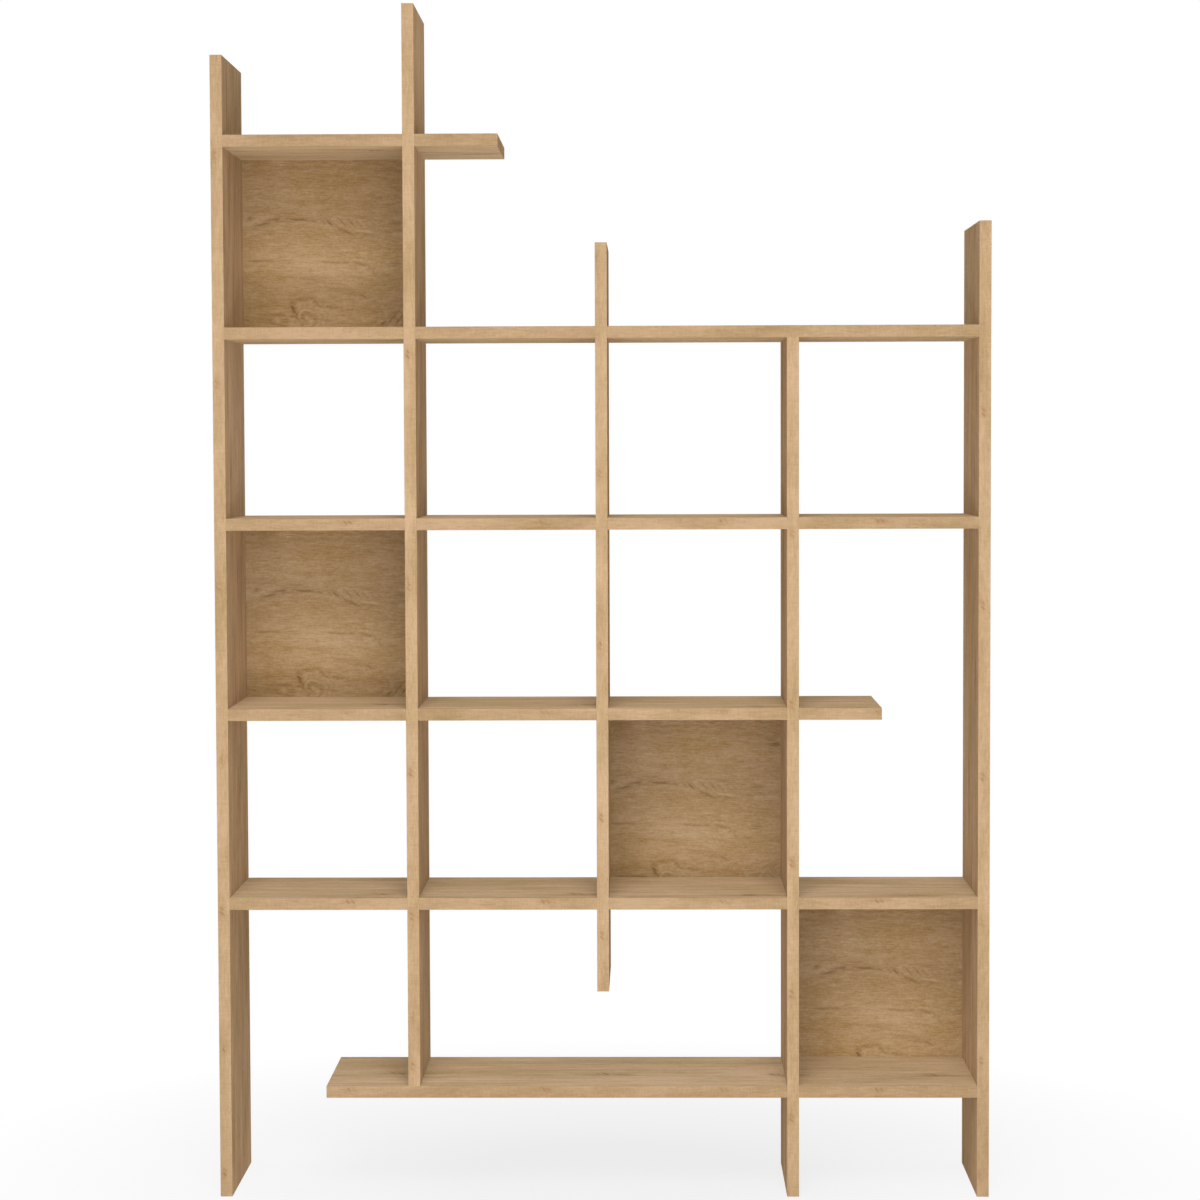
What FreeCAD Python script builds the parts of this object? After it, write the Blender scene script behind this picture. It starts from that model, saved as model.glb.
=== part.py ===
# Staircase bookshelf: edged chipboard uprights and short shelves in square cells, with thin back panels,
# held together by cam locks, connecting bolts, dowels and nails.
# Millimetres, +Z up, front towards -Y, origin on the floor under the middle of the overall box.
import FreeCAD, Part
import math
import os
import re
import Sketcher

# Driving sizes: alias, value, what it measures
SIZES = (
    ("board_thickness", 18, "uprights and shelves"),
    ("board_depth", 220, "front to back, front edging included"),
    ("bay_width", 270, "clear width between two uprights"),
    ("cell_height", 270, "clear height between two shelf lines"),
    ("leg_height", 152, "floor to the underside of the lowest shelf line"),
    ("left_upright_rise", 119, "above the first shelf line"),
    ("second_upright_rise", 194, "above the first shelf line"),
    ("middle_upright_rise", 125, "above the second shelf line"),
    ("right_upright_rise", 155, "above the second shelf line"),
    ("middle_upright_drop", 125, "below the fifth shelf line"),
    ("shelf_overhang", 125, "free end of a shelf past its upright"),
    ("edging_thickness", 0.8, "strip glued on front edges and free ends"),
    ("edging_arris", 0.5, "rounding of the strip's long corners"),
    ("panel_thickness", 3, "hardboard back panels"),
    ("panel_spacing", 1, "between two panels nailed to one rear edge"),
    ("cam_diameter", 15, "cam lock"),
    ("cam_reach", 34, "board end to the cam's centre"),
    ("cam_foot", 4.5, "cam below the bolt's axis"),
    ("cam_sink", 0.3, "cam's face below the board's face"),
    ("cam_clearance", 0.15, "round the cam, on the radius"),
    ("cam_cross_length", 9, "screwdriver cross in the cam's face"),
    ("cam_cross_width", 2, "each arm of the cross"),
    ("cam_cross_depth", 2.2, "depth of the cross"),
    ("bolt_inset", 37, "bolt's axis to the board's front or rear edge"),
    ("bolt_neck_diameter", 5, "plain shank of a connecting bolt"),
    ("bolt_thread_diameter", 5.6, "thread of a face bolt"),
    ("bolt_thread_length", 11, "thread in the board's face"),
    ("bolt_collar_diameter", 7.6, "stop that seats on the board's face"),
    ("bolt_collar_length", 3, "length of the stop"),
    ("bolt_head_diameter", 7, "head that the cam pulls on"),
    ("bolt_head_length", 4, "length of the head"),
    ("bolt_clearance", 0.15, "round the bolt, on the radius"),
    ("dowel_diameter", 8, "beech dowels"),
    ("dowel_step", 32, "dowel's axis to the bolt's axis"),
    ("dowel_bevel", 1, "bevel at both ends of a dowel"),
    ("dowel_clearance", 0.15, "round the dowel, on the radius"),
    ("dowel_end_gap", 1, "past the dowel's end"),
    ("face_dowel_length", 30, "dowel between a board's face and a board's end"),
    ("face_dowel_depth", 11, "part of the face dowel that sits in the face"),
    ("through_dowel_length", 60, "dowel through an upright into two shelves"),
    ("nail_diameter", 1.4, "nails of the back panels"),
    ("nail_length", 20, "under the head, point included"),
    ("nail_point_length", 2.5, "tapered point"),
    ("nail_head_diameter", 3.4, "flat head"),
    ("nail_head_height", 0.8, "flat head"),
    ("nail_clearance", 0.1, "round the nail, on the radius"),
    ("nail_end_gap", 0.5, "past the nail's point"),
    ("cut_overrun", 1, "how far every cut runs past the face it opens"),
)
SHEET_NAME = "sizes"
SIZE_WORD = re.compile(r"\b(" + "|".join(row[0] for row in SIZES) + r")\b")

# The plan: uprights are counted from the left, shelf lines from the top
UPRIGHT_COUNT = 5
SHELF_LINES = 6
UPRIGHT_NAMES = {1: "left_upright", 2: "second_upright", 3: "middle_upright",
                 4: "fourth_upright", 5: "right_upright"}
# Bays with a plain shelf from upright to upright, for each shelf line
PLAIN_BAYS = {1: (1,), 2: (1, 2), 3: (1, 2, 3, 4), 4: (1, 2, 3), 5: (1, 2, 3, 4), 6: (4,)}
# Shelf lines at or above eye height hide their cams on top, the lower ones underneath
LAST_LINE_WITH_CAMS_ON_TOP = 2
# Back panels, by bay and by the shelf line above the cell that each one closes
BACK_PANELS = {(1, 1): "back_panel_top_left", (1, 3): "back_panel_mid_left",
               (3, 4): "back_panel_centre", (4, 5): "back_panel_low_right"}
# Places of the nails along each side of a panel, as shares of the cell's clear side
NAIL_SHARES = (-0.36, 0.0, 0.36)

# Formulas that many pieces share
OVERALL_WIDTH = f"({UPRIGHT_COUNT} * board_thickness + {UPRIGHT_COUNT - 1} * bay_width)"
OVERALL_DEPTH = "(board_depth + panel_thickness + nail_head_height)"
BAY_STEP = "(bay_width + board_thickness)"
SHELF_STEP = "(cell_height + board_thickness)"
FRONT = f"(-{OVERALL_DEPTH} / 2)"
CORE_FRONT = f"({FRONT} + edging_thickness)"
CORE_DEPTH = "(board_depth - edging_thickness)"
REAR = f"({FRONT} + board_depth)"
MID_DEPTH = f"({FRONT} + board_depth / 2)"
PANEL_OVERLAP = "((board_thickness - panel_spacing) / 2)"
BOLT_OFFSET = "(board_depth / 2 - bolt_inset)"
DOWEL_OFFSET = f"({BOLT_OFFSET} - dowel_step)"
BOLT_HOLE_RADIUS = "(bolt_neck_diameter / 2 + bolt_clearance)"
HEAD_HOLE_RADIUS = "(bolt_head_diameter / 2 + bolt_clearance)"
DOWEL_HOLE_RADIUS = "(dowel_diameter / 2 + dowel_clearance)"
THROUGH_DOWEL_REACH = "((through_dowel_length - board_thickness) / 2)"
FACE_DOWEL_REACH = "(face_dowel_length - face_dowel_depth)"
NAIL_DEPTH = "(nail_length - panel_thickness)"

X_AXIS = FreeCAD.Vector(1, 0, 0)
Y_AXIS = FreeCAD.Vector(0, 1, 0)
Z_AXIS = FreeCAD.Vector(0, 0, 1)
UNTURNED = FreeCAD.Rotation()
ALONG_X = FreeCAD.Rotation(Y_AXIS, 90)
ALONG_Y = FreeCAD.Rotation(X_AXIS, -90)
AGAINST_Y = FreeCAD.Rotation(X_AXIS, 90)

doc = FreeCAD.newDocument("staircase_bookshelf")
nodes = []
drillings = {}


def fill_sheet():
    """Write the driving sizes into the spreadsheet, one row each, and name the value cells."""
    sheet = doc.addObject("Spreadsheet::Sheet", SHEET_NAME)
    for row, (alias, value, meaning) in enumerate(SIZES, start=1):
        sheet.set(f"A{row}", meaning)
        sheet.set(f"B{row}", str(value))
        sheet.setAlias(f"B{row}", alias)
    doc.recompute()


def bind(item, prop, formula):
    """Bind one property to a formula in the sheet's size names."""
    item.setExpression(prop, SIZE_WORD.sub(SHEET_NAME + r".\1", formula))


def place(item, x="0", y="0", z="0", turn=UNTURNED):
    """Turn an object and bind its place to three formulas."""
    item.Placement = FreeCAD.Placement(FreeCAD.Vector(), turn)
    for axis, formula in zip("xyz", (x, y, z)):
        bind(item, f"Placement.Base.{axis}", formula)


def block(name, length, width, height, x, y, z):
    """Box with its low corner at x, y, z."""
    item = doc.addObject("Part::Box", name)
    bind(item, "Length", length)
    bind(item, "Width", width)
    bind(item, "Height", height)
    place(item, x, y, z)
    return item


def rod(name, radius, length, turn, x="0", y="0", z="0"):
    """Cylinder that starts at x, y, z and runs the way the turn sends +Z."""
    item = doc.addObject("Part::Cylinder", name)
    bind(item, "Radius", radius)
    bind(item, "Height", length)
    place(item, x, y, z, turn)
    return item


def taper(name, start_radius, end_radius, length, turn, x="0", y="0", z="0"):
    """Cone that starts at x, y, z and runs the way the turn sends +Z."""
    item = doc.addObject("Part::Cone", name)
    bind(item, "Radius1", start_radius)
    bind(item, "Radius2", end_radius)
    bind(item, "Height", length)
    place(item, x, y, z, turn)
    return item


def fuse(name, pieces):
    """One solid from pieces that meet or overlap."""
    item = doc.addObject("Part::MultiFuse", name)
    item.Shapes = pieces
    return item


def cut(name, base, tool):
    """Base with the tool taken away."""
    item = doc.addObject("Part::Cut", name)
    item.Base = base
    item.Tool = tool
    return item


def group(name, pieces):
    """Pieces kept as separate solids in one object."""
    item = doc.addObject("Part::Compound", name)
    item.Links = pieces
    return item


def copy_at(source, x="0", y="0", z="0", turn=UNTURNED):
    """Linked copy of a piece, moved and turned from where the piece itself lies."""
    item = doc.addObject("App::Link", source.Name + "_copy")
    item.LinkedObject = source
    item.LinkTransform = True
    place(item, x, y, z, turn)
    return item


def pair(name, source, offset):
    """Two copies of a fitting, as far in front of the joint's middle as behind it."""
    return group(name, [copy_at(source, y=f"-{offset}"), copy_at(source, y=offset)])


def add_node(item, label, solids=1):
    """Keep an object as a sub-part with its label and the number of solids that it must have."""
    item.Label = label
    nodes.append((item, solids))


def left_face(upright):
    """Left face of an upright."""
    return f"({upright - 1} * {BAY_STEP} - {OVERALL_WIDTH} / 2)"


def right_face(upright):
    """Right face of an upright."""
    return f"({left_face(upright)} + board_thickness)"


def shelf_top(line):
    """Top face of a shelf line."""
    return f"(leg_height + board_thickness + {SHELF_LINES - line} * {SHELF_STEP})"


def shelf_under(line):
    """Underside of a shelf line."""
    return f"({shelf_top(line)} - board_thickness)"


# Fittings: each is made once in the frame of a joint, whose origin is the middle of the board end that
# meets a face, with +X into that end, Y along the depth and +Z towards the face that shows the cams

def make_cam():
    """Cam lock: a drum with a hook slot for the bolt, an entry mouth for its head and a cross in its face."""
    drum_top = "(board_thickness / 2 - cam_sink)"
    drum = rod("cam_drum", "cam_diameter / 2", f"{drum_top} + cam_foot", UNTURNED,
               "cam_reach", "0", "-cam_foot")
    half = "(cam_diameter / 2 + cut_overrun)"
    slot = rod("cam_slot", BOLT_HOLE_RADIUS, half, ALONG_X, f"cam_reach - {half}")
    pocket_length = "(bolt_head_length + 2 * bolt_clearance)"
    pocket = rod("cam_pocket", HEAD_HOLE_RADIUS, pocket_length, ALONG_X, f"cam_reach - {pocket_length} / 2")
    mouth = rod("cam_mouth", HEAD_HOLE_RADIUS, half, ALONG_Y, "cam_reach")
    cross_foot = f"{drum_top} - cam_cross_depth"
    cross_height = "cam_cross_depth + cut_overrun"
    arm_x = block("cam_cross_arm_x", "cam_cross_length", "cam_cross_width", cross_height,
                  "cam_reach - cam_cross_length / 2", "-cam_cross_width / 2", cross_foot)
    arm_y = block("cam_cross_arm_y", "cam_cross_width", "cam_cross_length", cross_height,
                  "cam_reach - cam_cross_width / 2", "-cam_cross_length / 2", cross_foot)
    return cut("cam", drum, fuse("cam_cuts", [slot, pocket, mouth, arm_x, arm_y]))


def bolt_head(name, x):
    """Head of a connecting bolt, centred at x."""
    return rod(name, "bolt_head_diameter / 2", "bolt_head_length", ALONG_X, f"{x} - bolt_head_length / 2")


def make_face_bolt():
    """Bolt that screws into a board's face, with a stop on the face and a head in the cam."""
    thread = rod("face_bolt_thread", "bolt_thread_diameter / 2", "bolt_thread_length", ALONG_X,
                 "-bolt_thread_length")
    collar = rod("face_bolt_collar", "bolt_collar_diameter / 2", "bolt_collar_length", ALONG_X)
    neck = rod("face_bolt_neck", "bolt_neck_diameter / 2", "cam_reach", ALONG_X)
    return fuse("face_bolt", [thread, collar, neck, bolt_head("face_bolt_head", "cam_reach")])


def make_double_bolt():
    """Bolt through an upright, with a head in a cam on either side."""
    far_cam = "(-board_thickness - cam_reach)"
    neck = rod("double_bolt_neck", "bolt_neck_diameter / 2", "board_thickness + 2 * cam_reach", ALONG_X,
               far_cam)
    near_head = bolt_head("double_bolt_near_head", "cam_reach")
    return fuse("double_bolt", [neck, near_head, bolt_head("double_bolt_far_head", far_cam)])


def make_dowel(name, start, length):
    """Round dowel with bevelled ends, from start along X."""
    tip_radius = "(dowel_diameter / 2 - dowel_bevel)"
    full_radius = "(dowel_diameter / 2)"
    near = taper(name + "_near_end", tip_radius, full_radius, "dowel_bevel", ALONG_X, start)
    shank = rod(name + "_shank", full_radius, f"{length} - 2 * dowel_bevel", ALONG_X,
                f"{start} + dowel_bevel")
    far = taper(name + "_far_end", full_radius, tip_radius, "dowel_bevel", ALONG_X,
                f"{start} + {length} - dowel_bevel")
    return fuse(name, [near, shank, far])


def make_end_drilling():
    """Holes in a board's end: a bore for each bolt that opens into the cam's seat, and one for each dowel."""
    seat = rod("cam_seat", "cam_diameter / 2 + cam_clearance", "cam_foot + board_thickness / 2 + cut_overrun",
               UNTURNED, "cam_reach", "0", "-cam_foot")
    bore = rod("bolt_bore", "bolt_collar_diameter / 2 + bolt_clearance", "cam_reach + cut_overrun", ALONG_X,
               "-cut_overrun")
    dowel_depth = f"(max({THROUGH_DOWEL_REACH}; {FACE_DOWEL_REACH}) + dowel_end_gap)"
    dowel_bore = rod("end_dowel_bore", DOWEL_HOLE_RADIUS, f"{dowel_depth} + cut_overrun", ALONG_X,
                     "-cut_overrun")
    bolt_holes = pair("end_bolt_holes", fuse("bolt_bore_and_seat", [seat, bore]), BOLT_OFFSET)
    return group("end_drilling", [bolt_holes, pair("end_dowel_holes", dowel_bore, DOWEL_OFFSET)])


def make_face_drilling():
    """Blind holes in a board's face for two face bolts and two face dowels."""
    bolt_hole = rod("face_bolt_hole", "bolt_thread_diameter / 2 + bolt_clearance",
                    "bolt_thread_length + cut_overrun", ALONG_X, "-bolt_thread_length")
    dowel_depth = "(face_dowel_depth + dowel_end_gap)"
    dowel_hole = rod("face_dowel_hole", DOWEL_HOLE_RADIUS, f"{dowel_depth} + cut_overrun", ALONG_X,
                     f"-{dowel_depth}")
    bolt_holes = pair("face_bolt_holes", bolt_hole, BOLT_OFFSET)
    return group("face_drilling", [bolt_holes, pair("face_dowel_holes", dowel_hole, DOWEL_OFFSET)])


def make_through_drilling():
    """Holes right through an upright for two double bolts and two through dowels."""
    length = "board_thickness + 2 * cut_overrun"
    start = "-board_thickness - cut_overrun"
    bolt_hole = rod("through_bolt_hole", BOLT_HOLE_RADIUS, length, ALONG_X, start)
    dowel_hole = rod("through_dowel_hole", DOWEL_HOLE_RADIUS, length, ALONG_X, start)
    bolt_holes = pair("through_bolt_holes", bolt_hole, BOLT_OFFSET)
    return group("through_drilling", [bolt_holes, pair("through_dowel_holes", dowel_hole, DOWEL_OFFSET)])


def make_nail():
    """Nail whose head lies on the back of a panel, with y = 0 on the boards' rear edges."""
    head = rod("nail_head", "nail_head_diameter / 2", "nail_head_height", ALONG_Y, y="panel_thickness")
    shank = rod("nail_shank", "nail_diameter / 2", "nail_length - nail_point_length", AGAINST_Y,
                y="panel_thickness")
    point = taper("nail_point", "nail_diameter / 2", "0", "nail_point_length", AGAINST_Y,
                  y=f"nail_point_length - {NAIL_DEPTH}")
    return fuse("nail", [head, shank, point])


def make_nail_hole():
    """Hole for one nail through the panel and into the board."""
    start = "(panel_thickness + cut_overrun)"
    return rod("nail_hole", "nail_diameter / 2 + nail_clearance", f"{start} + {NAIL_DEPTH} + nail_end_gap",
               AGAINST_Y, y=start)


def nail_rows(source):
    """Copies of a nail or of its hole along a panel's level side and along its upright side."""
    level = [copy_at(source, x=f"{share} * bay_width") for share in NAIL_SHARES]
    upright = [copy_at(source, z=f"{share} * cell_height") for share in NAIL_SHARES]
    return group(source.Name + "_level_row", level), group(source.Name + "_upright_row", upright)


# Joints: where boards meet, which board gets which holes and where the fittings go

class Fittings:
    """The masters of the fittings and drillings, and the copies placed so far."""

    def __init__(self):
        self.cams = pair("cam_pair", make_cam(), BOLT_OFFSET)
        self.face_bolts = pair("face_bolt_pair", make_face_bolt(), BOLT_OFFSET)
        self.double_bolts = pair("double_bolt_pair", make_double_bolt(), BOLT_OFFSET)
        face_dowel = make_dowel("face_dowel", "-face_dowel_depth", "face_dowel_length")
        through_dowel = make_dowel("through_dowel", f"-board_thickness - {THROUGH_DOWEL_REACH}",
                                   "through_dowel_length")
        self.face_dowels = pair("face_dowel_pair", face_dowel, DOWEL_OFFSET)
        self.through_dowels = pair("through_dowel_pair", through_dowel, DOWEL_OFFSET)
        self.end_drilling = make_end_drilling()
        self.face_drilling = make_face_drilling()
        self.through_drilling = make_through_drilling()
        self.level_nails, self.upright_nails = nail_rows(make_nail())
        self.level_nail_holes, self.upright_nail_holes = nail_rows(make_nail_hole())
        self.placed = {}

    def put(self, kind, spot):
        """Place one pair or row of fittings of a kind at a spot."""
        self.placed.setdefault(kind, []).append(copy_at(getattr(self, kind), **spot))

    def drill(self, board, kind, spot):
        """Take the holes of a kind out of a board at a spot."""
        drillings.setdefault(board, []).append(copy_at(getattr(self, kind), **spot))

    def end_joint(self, end_board, face_board, spot):
        """Fasten a board's end to another board's face."""
        self.drill(end_board, "end_drilling", spot)
        self.drill(face_board, "face_drilling", spot)
        for kind in ("cams", "face_bolts", "face_dowels"):
            self.put(kind, spot)

    def crossing(self, left_board, right_board, upright, left_spot, right_spot):
        """Fasten two shelves to the two faces of one upright, through it."""
        self.drill(left_board, "end_drilling", left_spot)
        self.drill(right_board, "end_drilling", right_spot)
        self.drill(upright, "through_drilling", right_spot)
        self.put("cams", left_spot)
        self.put("cams", right_spot)
        self.put("double_bolts", right_spot)
        self.put("through_dowels", right_spot)


def shelf_spot(line, upright, side):
    """Frame of a joint on the left or right face of an upright, turned so that the cams face up or down."""
    cams_on_top = line <= LAST_LINE_WITH_CAMS_ON_TOP
    z = f"({shelf_top(line)} - board_thickness / 2)"
    if side == "right":
        turn = UNTURNED if cams_on_top else FreeCAD.Rotation(X_AXIS, 180)
        return {"x": right_face(upright), "y": MID_DEPTH, "z": z, "turn": turn}
    turn = FreeCAD.Rotation(Z_AXIS, 180) if cams_on_top else FreeCAD.Rotation(Y_AXIS, 180)
    return {"x": left_face(upright), "y": MID_DEPTH, "z": z, "turn": turn}


def list_shelves():
    """Every shelf: name, line, start, end, and the uprights that hold its left and right ends."""
    shelves = []
    for line, bays in PLAIN_BAYS.items():
        for bay in bays:
            name = f"shelf_{line}_bay_{bay}"
            shelves.append((name, line, right_face(bay), left_face(bay + 1), bay, bay + 1))
    for line, upright in ((1, 2), (4, 4)):
        end = f"({right_face(upright)} + shelf_overhang)"
        shelves.append((f"shelf_{line}_overhang", line, right_face(upright), end, upright, None))
    shelves.append(("shelf_2_wide", 2, right_face(3), left_face(5), 3, 5))
    shelves.append(("shelf_6_long", 6, f"({left_face(2)} - shelf_overhang)", left_face(4), None, 4))
    return shelves


def list_uprights():
    """Every upright: number, bottom, top, and whether its bottom and top ends are edged."""
    return (
        (1, "0", f"({shelf_top(1)} + left_upright_rise)", False, True),
        (2, shelf_top(6), f"({shelf_top(1)} + second_upright_rise)", False, True),
        (3, f"({shelf_under(5)} - middle_upright_drop)", f"({shelf_top(2)} + middle_upright_rise)",
         True, True),
        (4, "0", shelf_under(2), False, False),
        (5, "0", f"({shelf_top(2)} + right_upright_rise)", False, True),
    )


def join_boards(fittings, shelves):
    """Put cam locks, bolts and dowels at every joint and collect the holes that they need."""
    ends = {}
    for name, line, _, _, left_upright, right_upright in shelves:
        if left_upright:
            ends.setdefault((line, left_upright), {})["right"] = name
        if right_upright:
            ends.setdefault((line, right_upright), {})["left"] = name
    for (line, upright), boards in ends.items():
        if len(boards) == 2:
            fittings.crossing(boards["left"], boards["right"], UPRIGHT_NAMES[upright],
                              shelf_spot(line, upright, "left"), shelf_spot(line, upright, "right"))
        else:
            side, name = next(iter(boards.items()))
            fittings.end_joint(name, UPRIGHT_NAMES[upright], shelf_spot(line, upright, side))
    under_wide_shelf = {"x": f"({left_face(4)} + board_thickness / 2)", "y": MID_DEPTH, "z": shelf_under(2),
                        "turn": FreeCAD.Rotation(Y_AXIS, 90)}
    fittings.end_joint(UPRIGHT_NAMES[4], "shelf_2_wide", under_wide_shelf)
    on_long_shelf = {"x": f"({left_face(2)} + board_thickness / 2)", "y": MID_DEPTH, "z": shelf_top(6),
                     "turn": FreeCAD.Rotation(Y_AXIS, -90)}
    fittings.end_joint(UPRIGHT_NAMES[2], "shelf_6_long", on_long_shelf)


def nail_panels(fittings):
    """Nail each back panel to the rear edges of the two shelves and two uprights round its cell."""
    for (bay, line), name in BACK_PANELS.items():
        mid_x = f"({right_face(bay)} + bay_width / 2)"
        mid_z = f"({shelf_under(line)} - cell_height / 2)"
        inset = f"{PANEL_OVERLAP} / 2"
        level_sides = ((f"shelf_{line}_bay_{bay}", f"{shelf_under(line)} + {inset}"),
                       (f"shelf_{line + 1}_bay_{bay}", f"{shelf_top(line + 1)} - {inset}"))
        upright_sides = ((UPRIGHT_NAMES[bay], f"{right_face(bay)} - {inset}"),
                         (UPRIGHT_NAMES[bay + 1], f"{left_face(bay + 1)} + {inset}"))
        for board, z in level_sides:
            spot = {"x": mid_x, "y": REAR, "z": z}
            fittings.put("level_nails", spot)
            fittings.drill(board, "level_nail_holes", spot)
            fittings.drill(name, "level_nail_holes", spot)
        for board, x in upright_sides:
            spot = {"x": x, "y": REAR, "z": mid_z}
            fittings.put("upright_nails", spot)
            fittings.drill(board, "upright_nail_holes", spot)
            fittings.drill(name, "upright_nail_holes", spot)


def finish_board(name, blank):
    """Drill a board's blank and keep it as a sub-part."""
    add_node(cut(name + "_drilled", blank, group(name + "_holes", drillings[name])), name)


# Edging: one rounded strip section, drawn out along each front edge and free end

def draw_edging_section():
    """Strip section: flat back on x = 0, two rounded front corners, centred on the board's thickness."""
    sketch = doc.addObject("Sketcher::SketchObject", "edging_section")
    values = {row[0]: row[1] for row in SIZES}
    deep = values["edging_thickness"]
    half = values["board_thickness"] / 2
    arris = values["edging_arris"]
    corners = [(0, -half), (deep - arris, -half), (deep, arris - half), (deep, half - arris),
               (deep - arris, half), (0, half)]
    points = [FreeCAD.Vector(x, y, 0) for x, y in corners]
    low_centre = FreeCAD.Vector(deep - arris, arris - half, 0)
    high_centre = FreeCAD.Vector(deep - arris, half - arris, 0)
    low, right, high, back = (sketch.addGeometry(Part.LineSegment(a, b), False) for a, b in
                              (points[0:2], points[2:4], points[4:6], (points[5], points[0])))
    quarter = math.radians(90)
    low_circle = Part.Circle(low_centre, Z_AXIS, arris)
    high_circle = Part.Circle(high_centre, Z_AXIS, arris)
    low_round = sketch.addGeometry(Part.ArcOfCircle(low_circle, -quarter, 0), False)
    high_round = sketch.addGeometry(Part.ArcOfCircle(high_circle, 0, quarter), False)
    start, end, origin = 1, 2, -1
    for line, line_end, arc, arc_end in ((low, end, low_round, start), (right, start, low_round, end),
                                         (right, end, high_round, start), (high, start, high_round, end)):
        sketch.addConstraint(Sketcher.Constraint("Tangent", line, line_end, arc, arc_end))
    sketch.addConstraint(Sketcher.Constraint("Coincident", high, end, back, start))
    sketch.addConstraint(Sketcher.Constraint("Coincident", back, end, low, start))
    sketch.addConstraint(Sketcher.Constraint("Horizontal", low))
    sketch.addConstraint(Sketcher.Constraint("Vertical", back))
    sketch.addConstraint(Sketcher.Constraint("Symmetric", back, start, back, end, origin, start))
    sketch.addConstraint(Sketcher.Constraint("Equal", low_round, high_round))
    for name, kind, parts, size in (("width", "Distance", (back,), "board_thickness"),
                                    ("arris", "Radius", (low_round,), "edging_arris"),
                                    ("deep", "DistanceX", (back, end, right, start), "edging_thickness")):
        value = FreeCAD.Units.Quantity(values[size], FreeCAD.Units.Length)
        index = sketch.addConstraint(Sketcher.Constraint(kind, *parts, value))
        sketch.renameConstraint(index, name)
        bind(sketch, "Constraints." + name, size)
    return sketch


def strip(section, name, length, outward, along, x, y, z):
    """Edging strip: the section drawn out along one direction, with its rounded front turned outward."""
    item = doc.addObject("Part::Extrusion", name)
    item.Base = section
    item.DirMode = "Normal"
    item.Solid = True
    bind(item, "LengthFwd", length)
    place(item, x, y, z, FreeCAD.Rotation(outward, along.cross(outward), along, "XYZ"))
    return item


def make_shelves(section, shelves):
    """Shelf boards, and the strips on their front edges and free ends, one group for each line."""
    strips = {line: [] for line in PLAIN_BAYS}
    for name, line, start, end, left_upright, right_upright in shelves:
        core_start = start if left_upright else f"({start} + edging_thickness)"
        core_end = end if right_upright else f"({end} - edging_thickness)"
        under = shelf_under(line)
        blank = block(name + "_blank", f"{core_end} - {core_start}", CORE_DEPTH, "board_thickness",
                      core_start, CORE_FRONT, under)
        finish_board(name, blank)
        mid = f"{under} + board_thickness / 2"
        strips[line].append(strip(section, name + "_front_strip", f"{end} - {start}", -Y_AXIS, X_AXIS,
                                  start, CORE_FRONT, mid))
        if not left_upright:
            strips[line].append(strip(section, name + "_end_strip", CORE_DEPTH, -X_AXIS, Y_AXIS,
                                      core_start, CORE_FRONT, mid))
        if not right_upright:
            strips[line].append(strip(section, name + "_end_strip", CORE_DEPTH, X_AXIS, Y_AXIS,
                                      core_end, CORE_FRONT, mid))
    for line, pieces in strips.items():
        add_node(group(f"shelf_{line}_strips", pieces), f"shelf_{line}_edging", len(pieces))


def make_uprights(section):
    """Uprights, each with a strip on its front edge and on its free ends."""
    for number, bottom, top, bottom_edged, top_edged in list_uprights():
        name = UPRIGHT_NAMES[number]
        core_bottom = f"({bottom} + edging_thickness)" if bottom_edged else bottom
        core_top = f"({top} - edging_thickness)" if top_edged else top
        blank = block(name + "_blank", "board_thickness", CORE_DEPTH, f"{core_top} - {core_bottom}",
                      left_face(number), CORE_FRONT, core_bottom)
        finish_board(name, blank)
        mid = f"{left_face(number)} + board_thickness / 2"
        pieces = [strip(section, name + "_front_strip", f"{top} - {bottom}", -Y_AXIS, Z_AXIS,
                        mid, CORE_FRONT, bottom)]
        if bottom_edged:
            pieces.append(strip(section, name + "_bottom_strip", CORE_DEPTH, -Z_AXIS, Y_AXIS,
                                mid, CORE_FRONT, core_bottom))
        if top_edged:
            pieces.append(strip(section, name + "_top_strip", CORE_DEPTH, Z_AXIS, Y_AXIS,
                                mid, CORE_FRONT, core_top))
        add_node(group(name + "_strips", pieces), name + "_edging", len(pieces))


def make_panels():
    """Back panels, lapped over the rear edges of the boards round their cells."""
    for (bay, line), name in BACK_PANELS.items():
        blank = block(name + "_blank", f"bay_width + 2 * {PANEL_OVERLAP}", "panel_thickness",
                      f"cell_height + 2 * {PANEL_OVERLAP}", f"{right_face(bay)} - {PANEL_OVERLAP}", REAR,
                      f"{shelf_top(line + 1)} - {PANEL_OVERLAP}")
        finish_board(name, blank)


def keep_fittings(fittings):
    """Group the placed fittings by kind, every one still a separate solid."""
    placed = fittings.placed
    for kind, label in (("cams", "cam_locks"), ("face_bolts", "face_bolts"), ("double_bolts", "double_bolts"),
                        ("face_dowels", "face_dowels"), ("through_dowels", "through_dowels")):
        add_node(group(label + "_group", placed[kind]), label, 2 * len(placed[kind]))
    rows = placed["level_nails"] + placed["upright_nails"]
    add_node(group("panel_nails_group", rows), "panel_nails", len(NAIL_SHARES) * len(rows))


def check_document():
    """Stop if any object failed or any sub-part isn't the valid solids that it should be."""
    for item in doc.Objects:
        if "Invalid" in item.State or "Error" in item.State:
            raise RuntimeError(f"{item.Label} failed: {item.State}")
    for item, solids in nodes:
        shape = item.Shape
        if shape.isNull() or not shape.isValid():
            raise RuntimeError(f"{item.Label} has no valid shape")
        if len(shape.Solids) != solids:
            raise RuntimeError(f"{item.Label} has {len(shape.Solids)} solids, not {solids}")


def write_parts():
    """Write each sub-part to its own file."""
    os.makedirs("parts", exist_ok=True)
    for item, _ in nodes:
        Part.makeCompound(item.Shape.Solids).exportStep(f"parts/{item.Label}.step")


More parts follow.
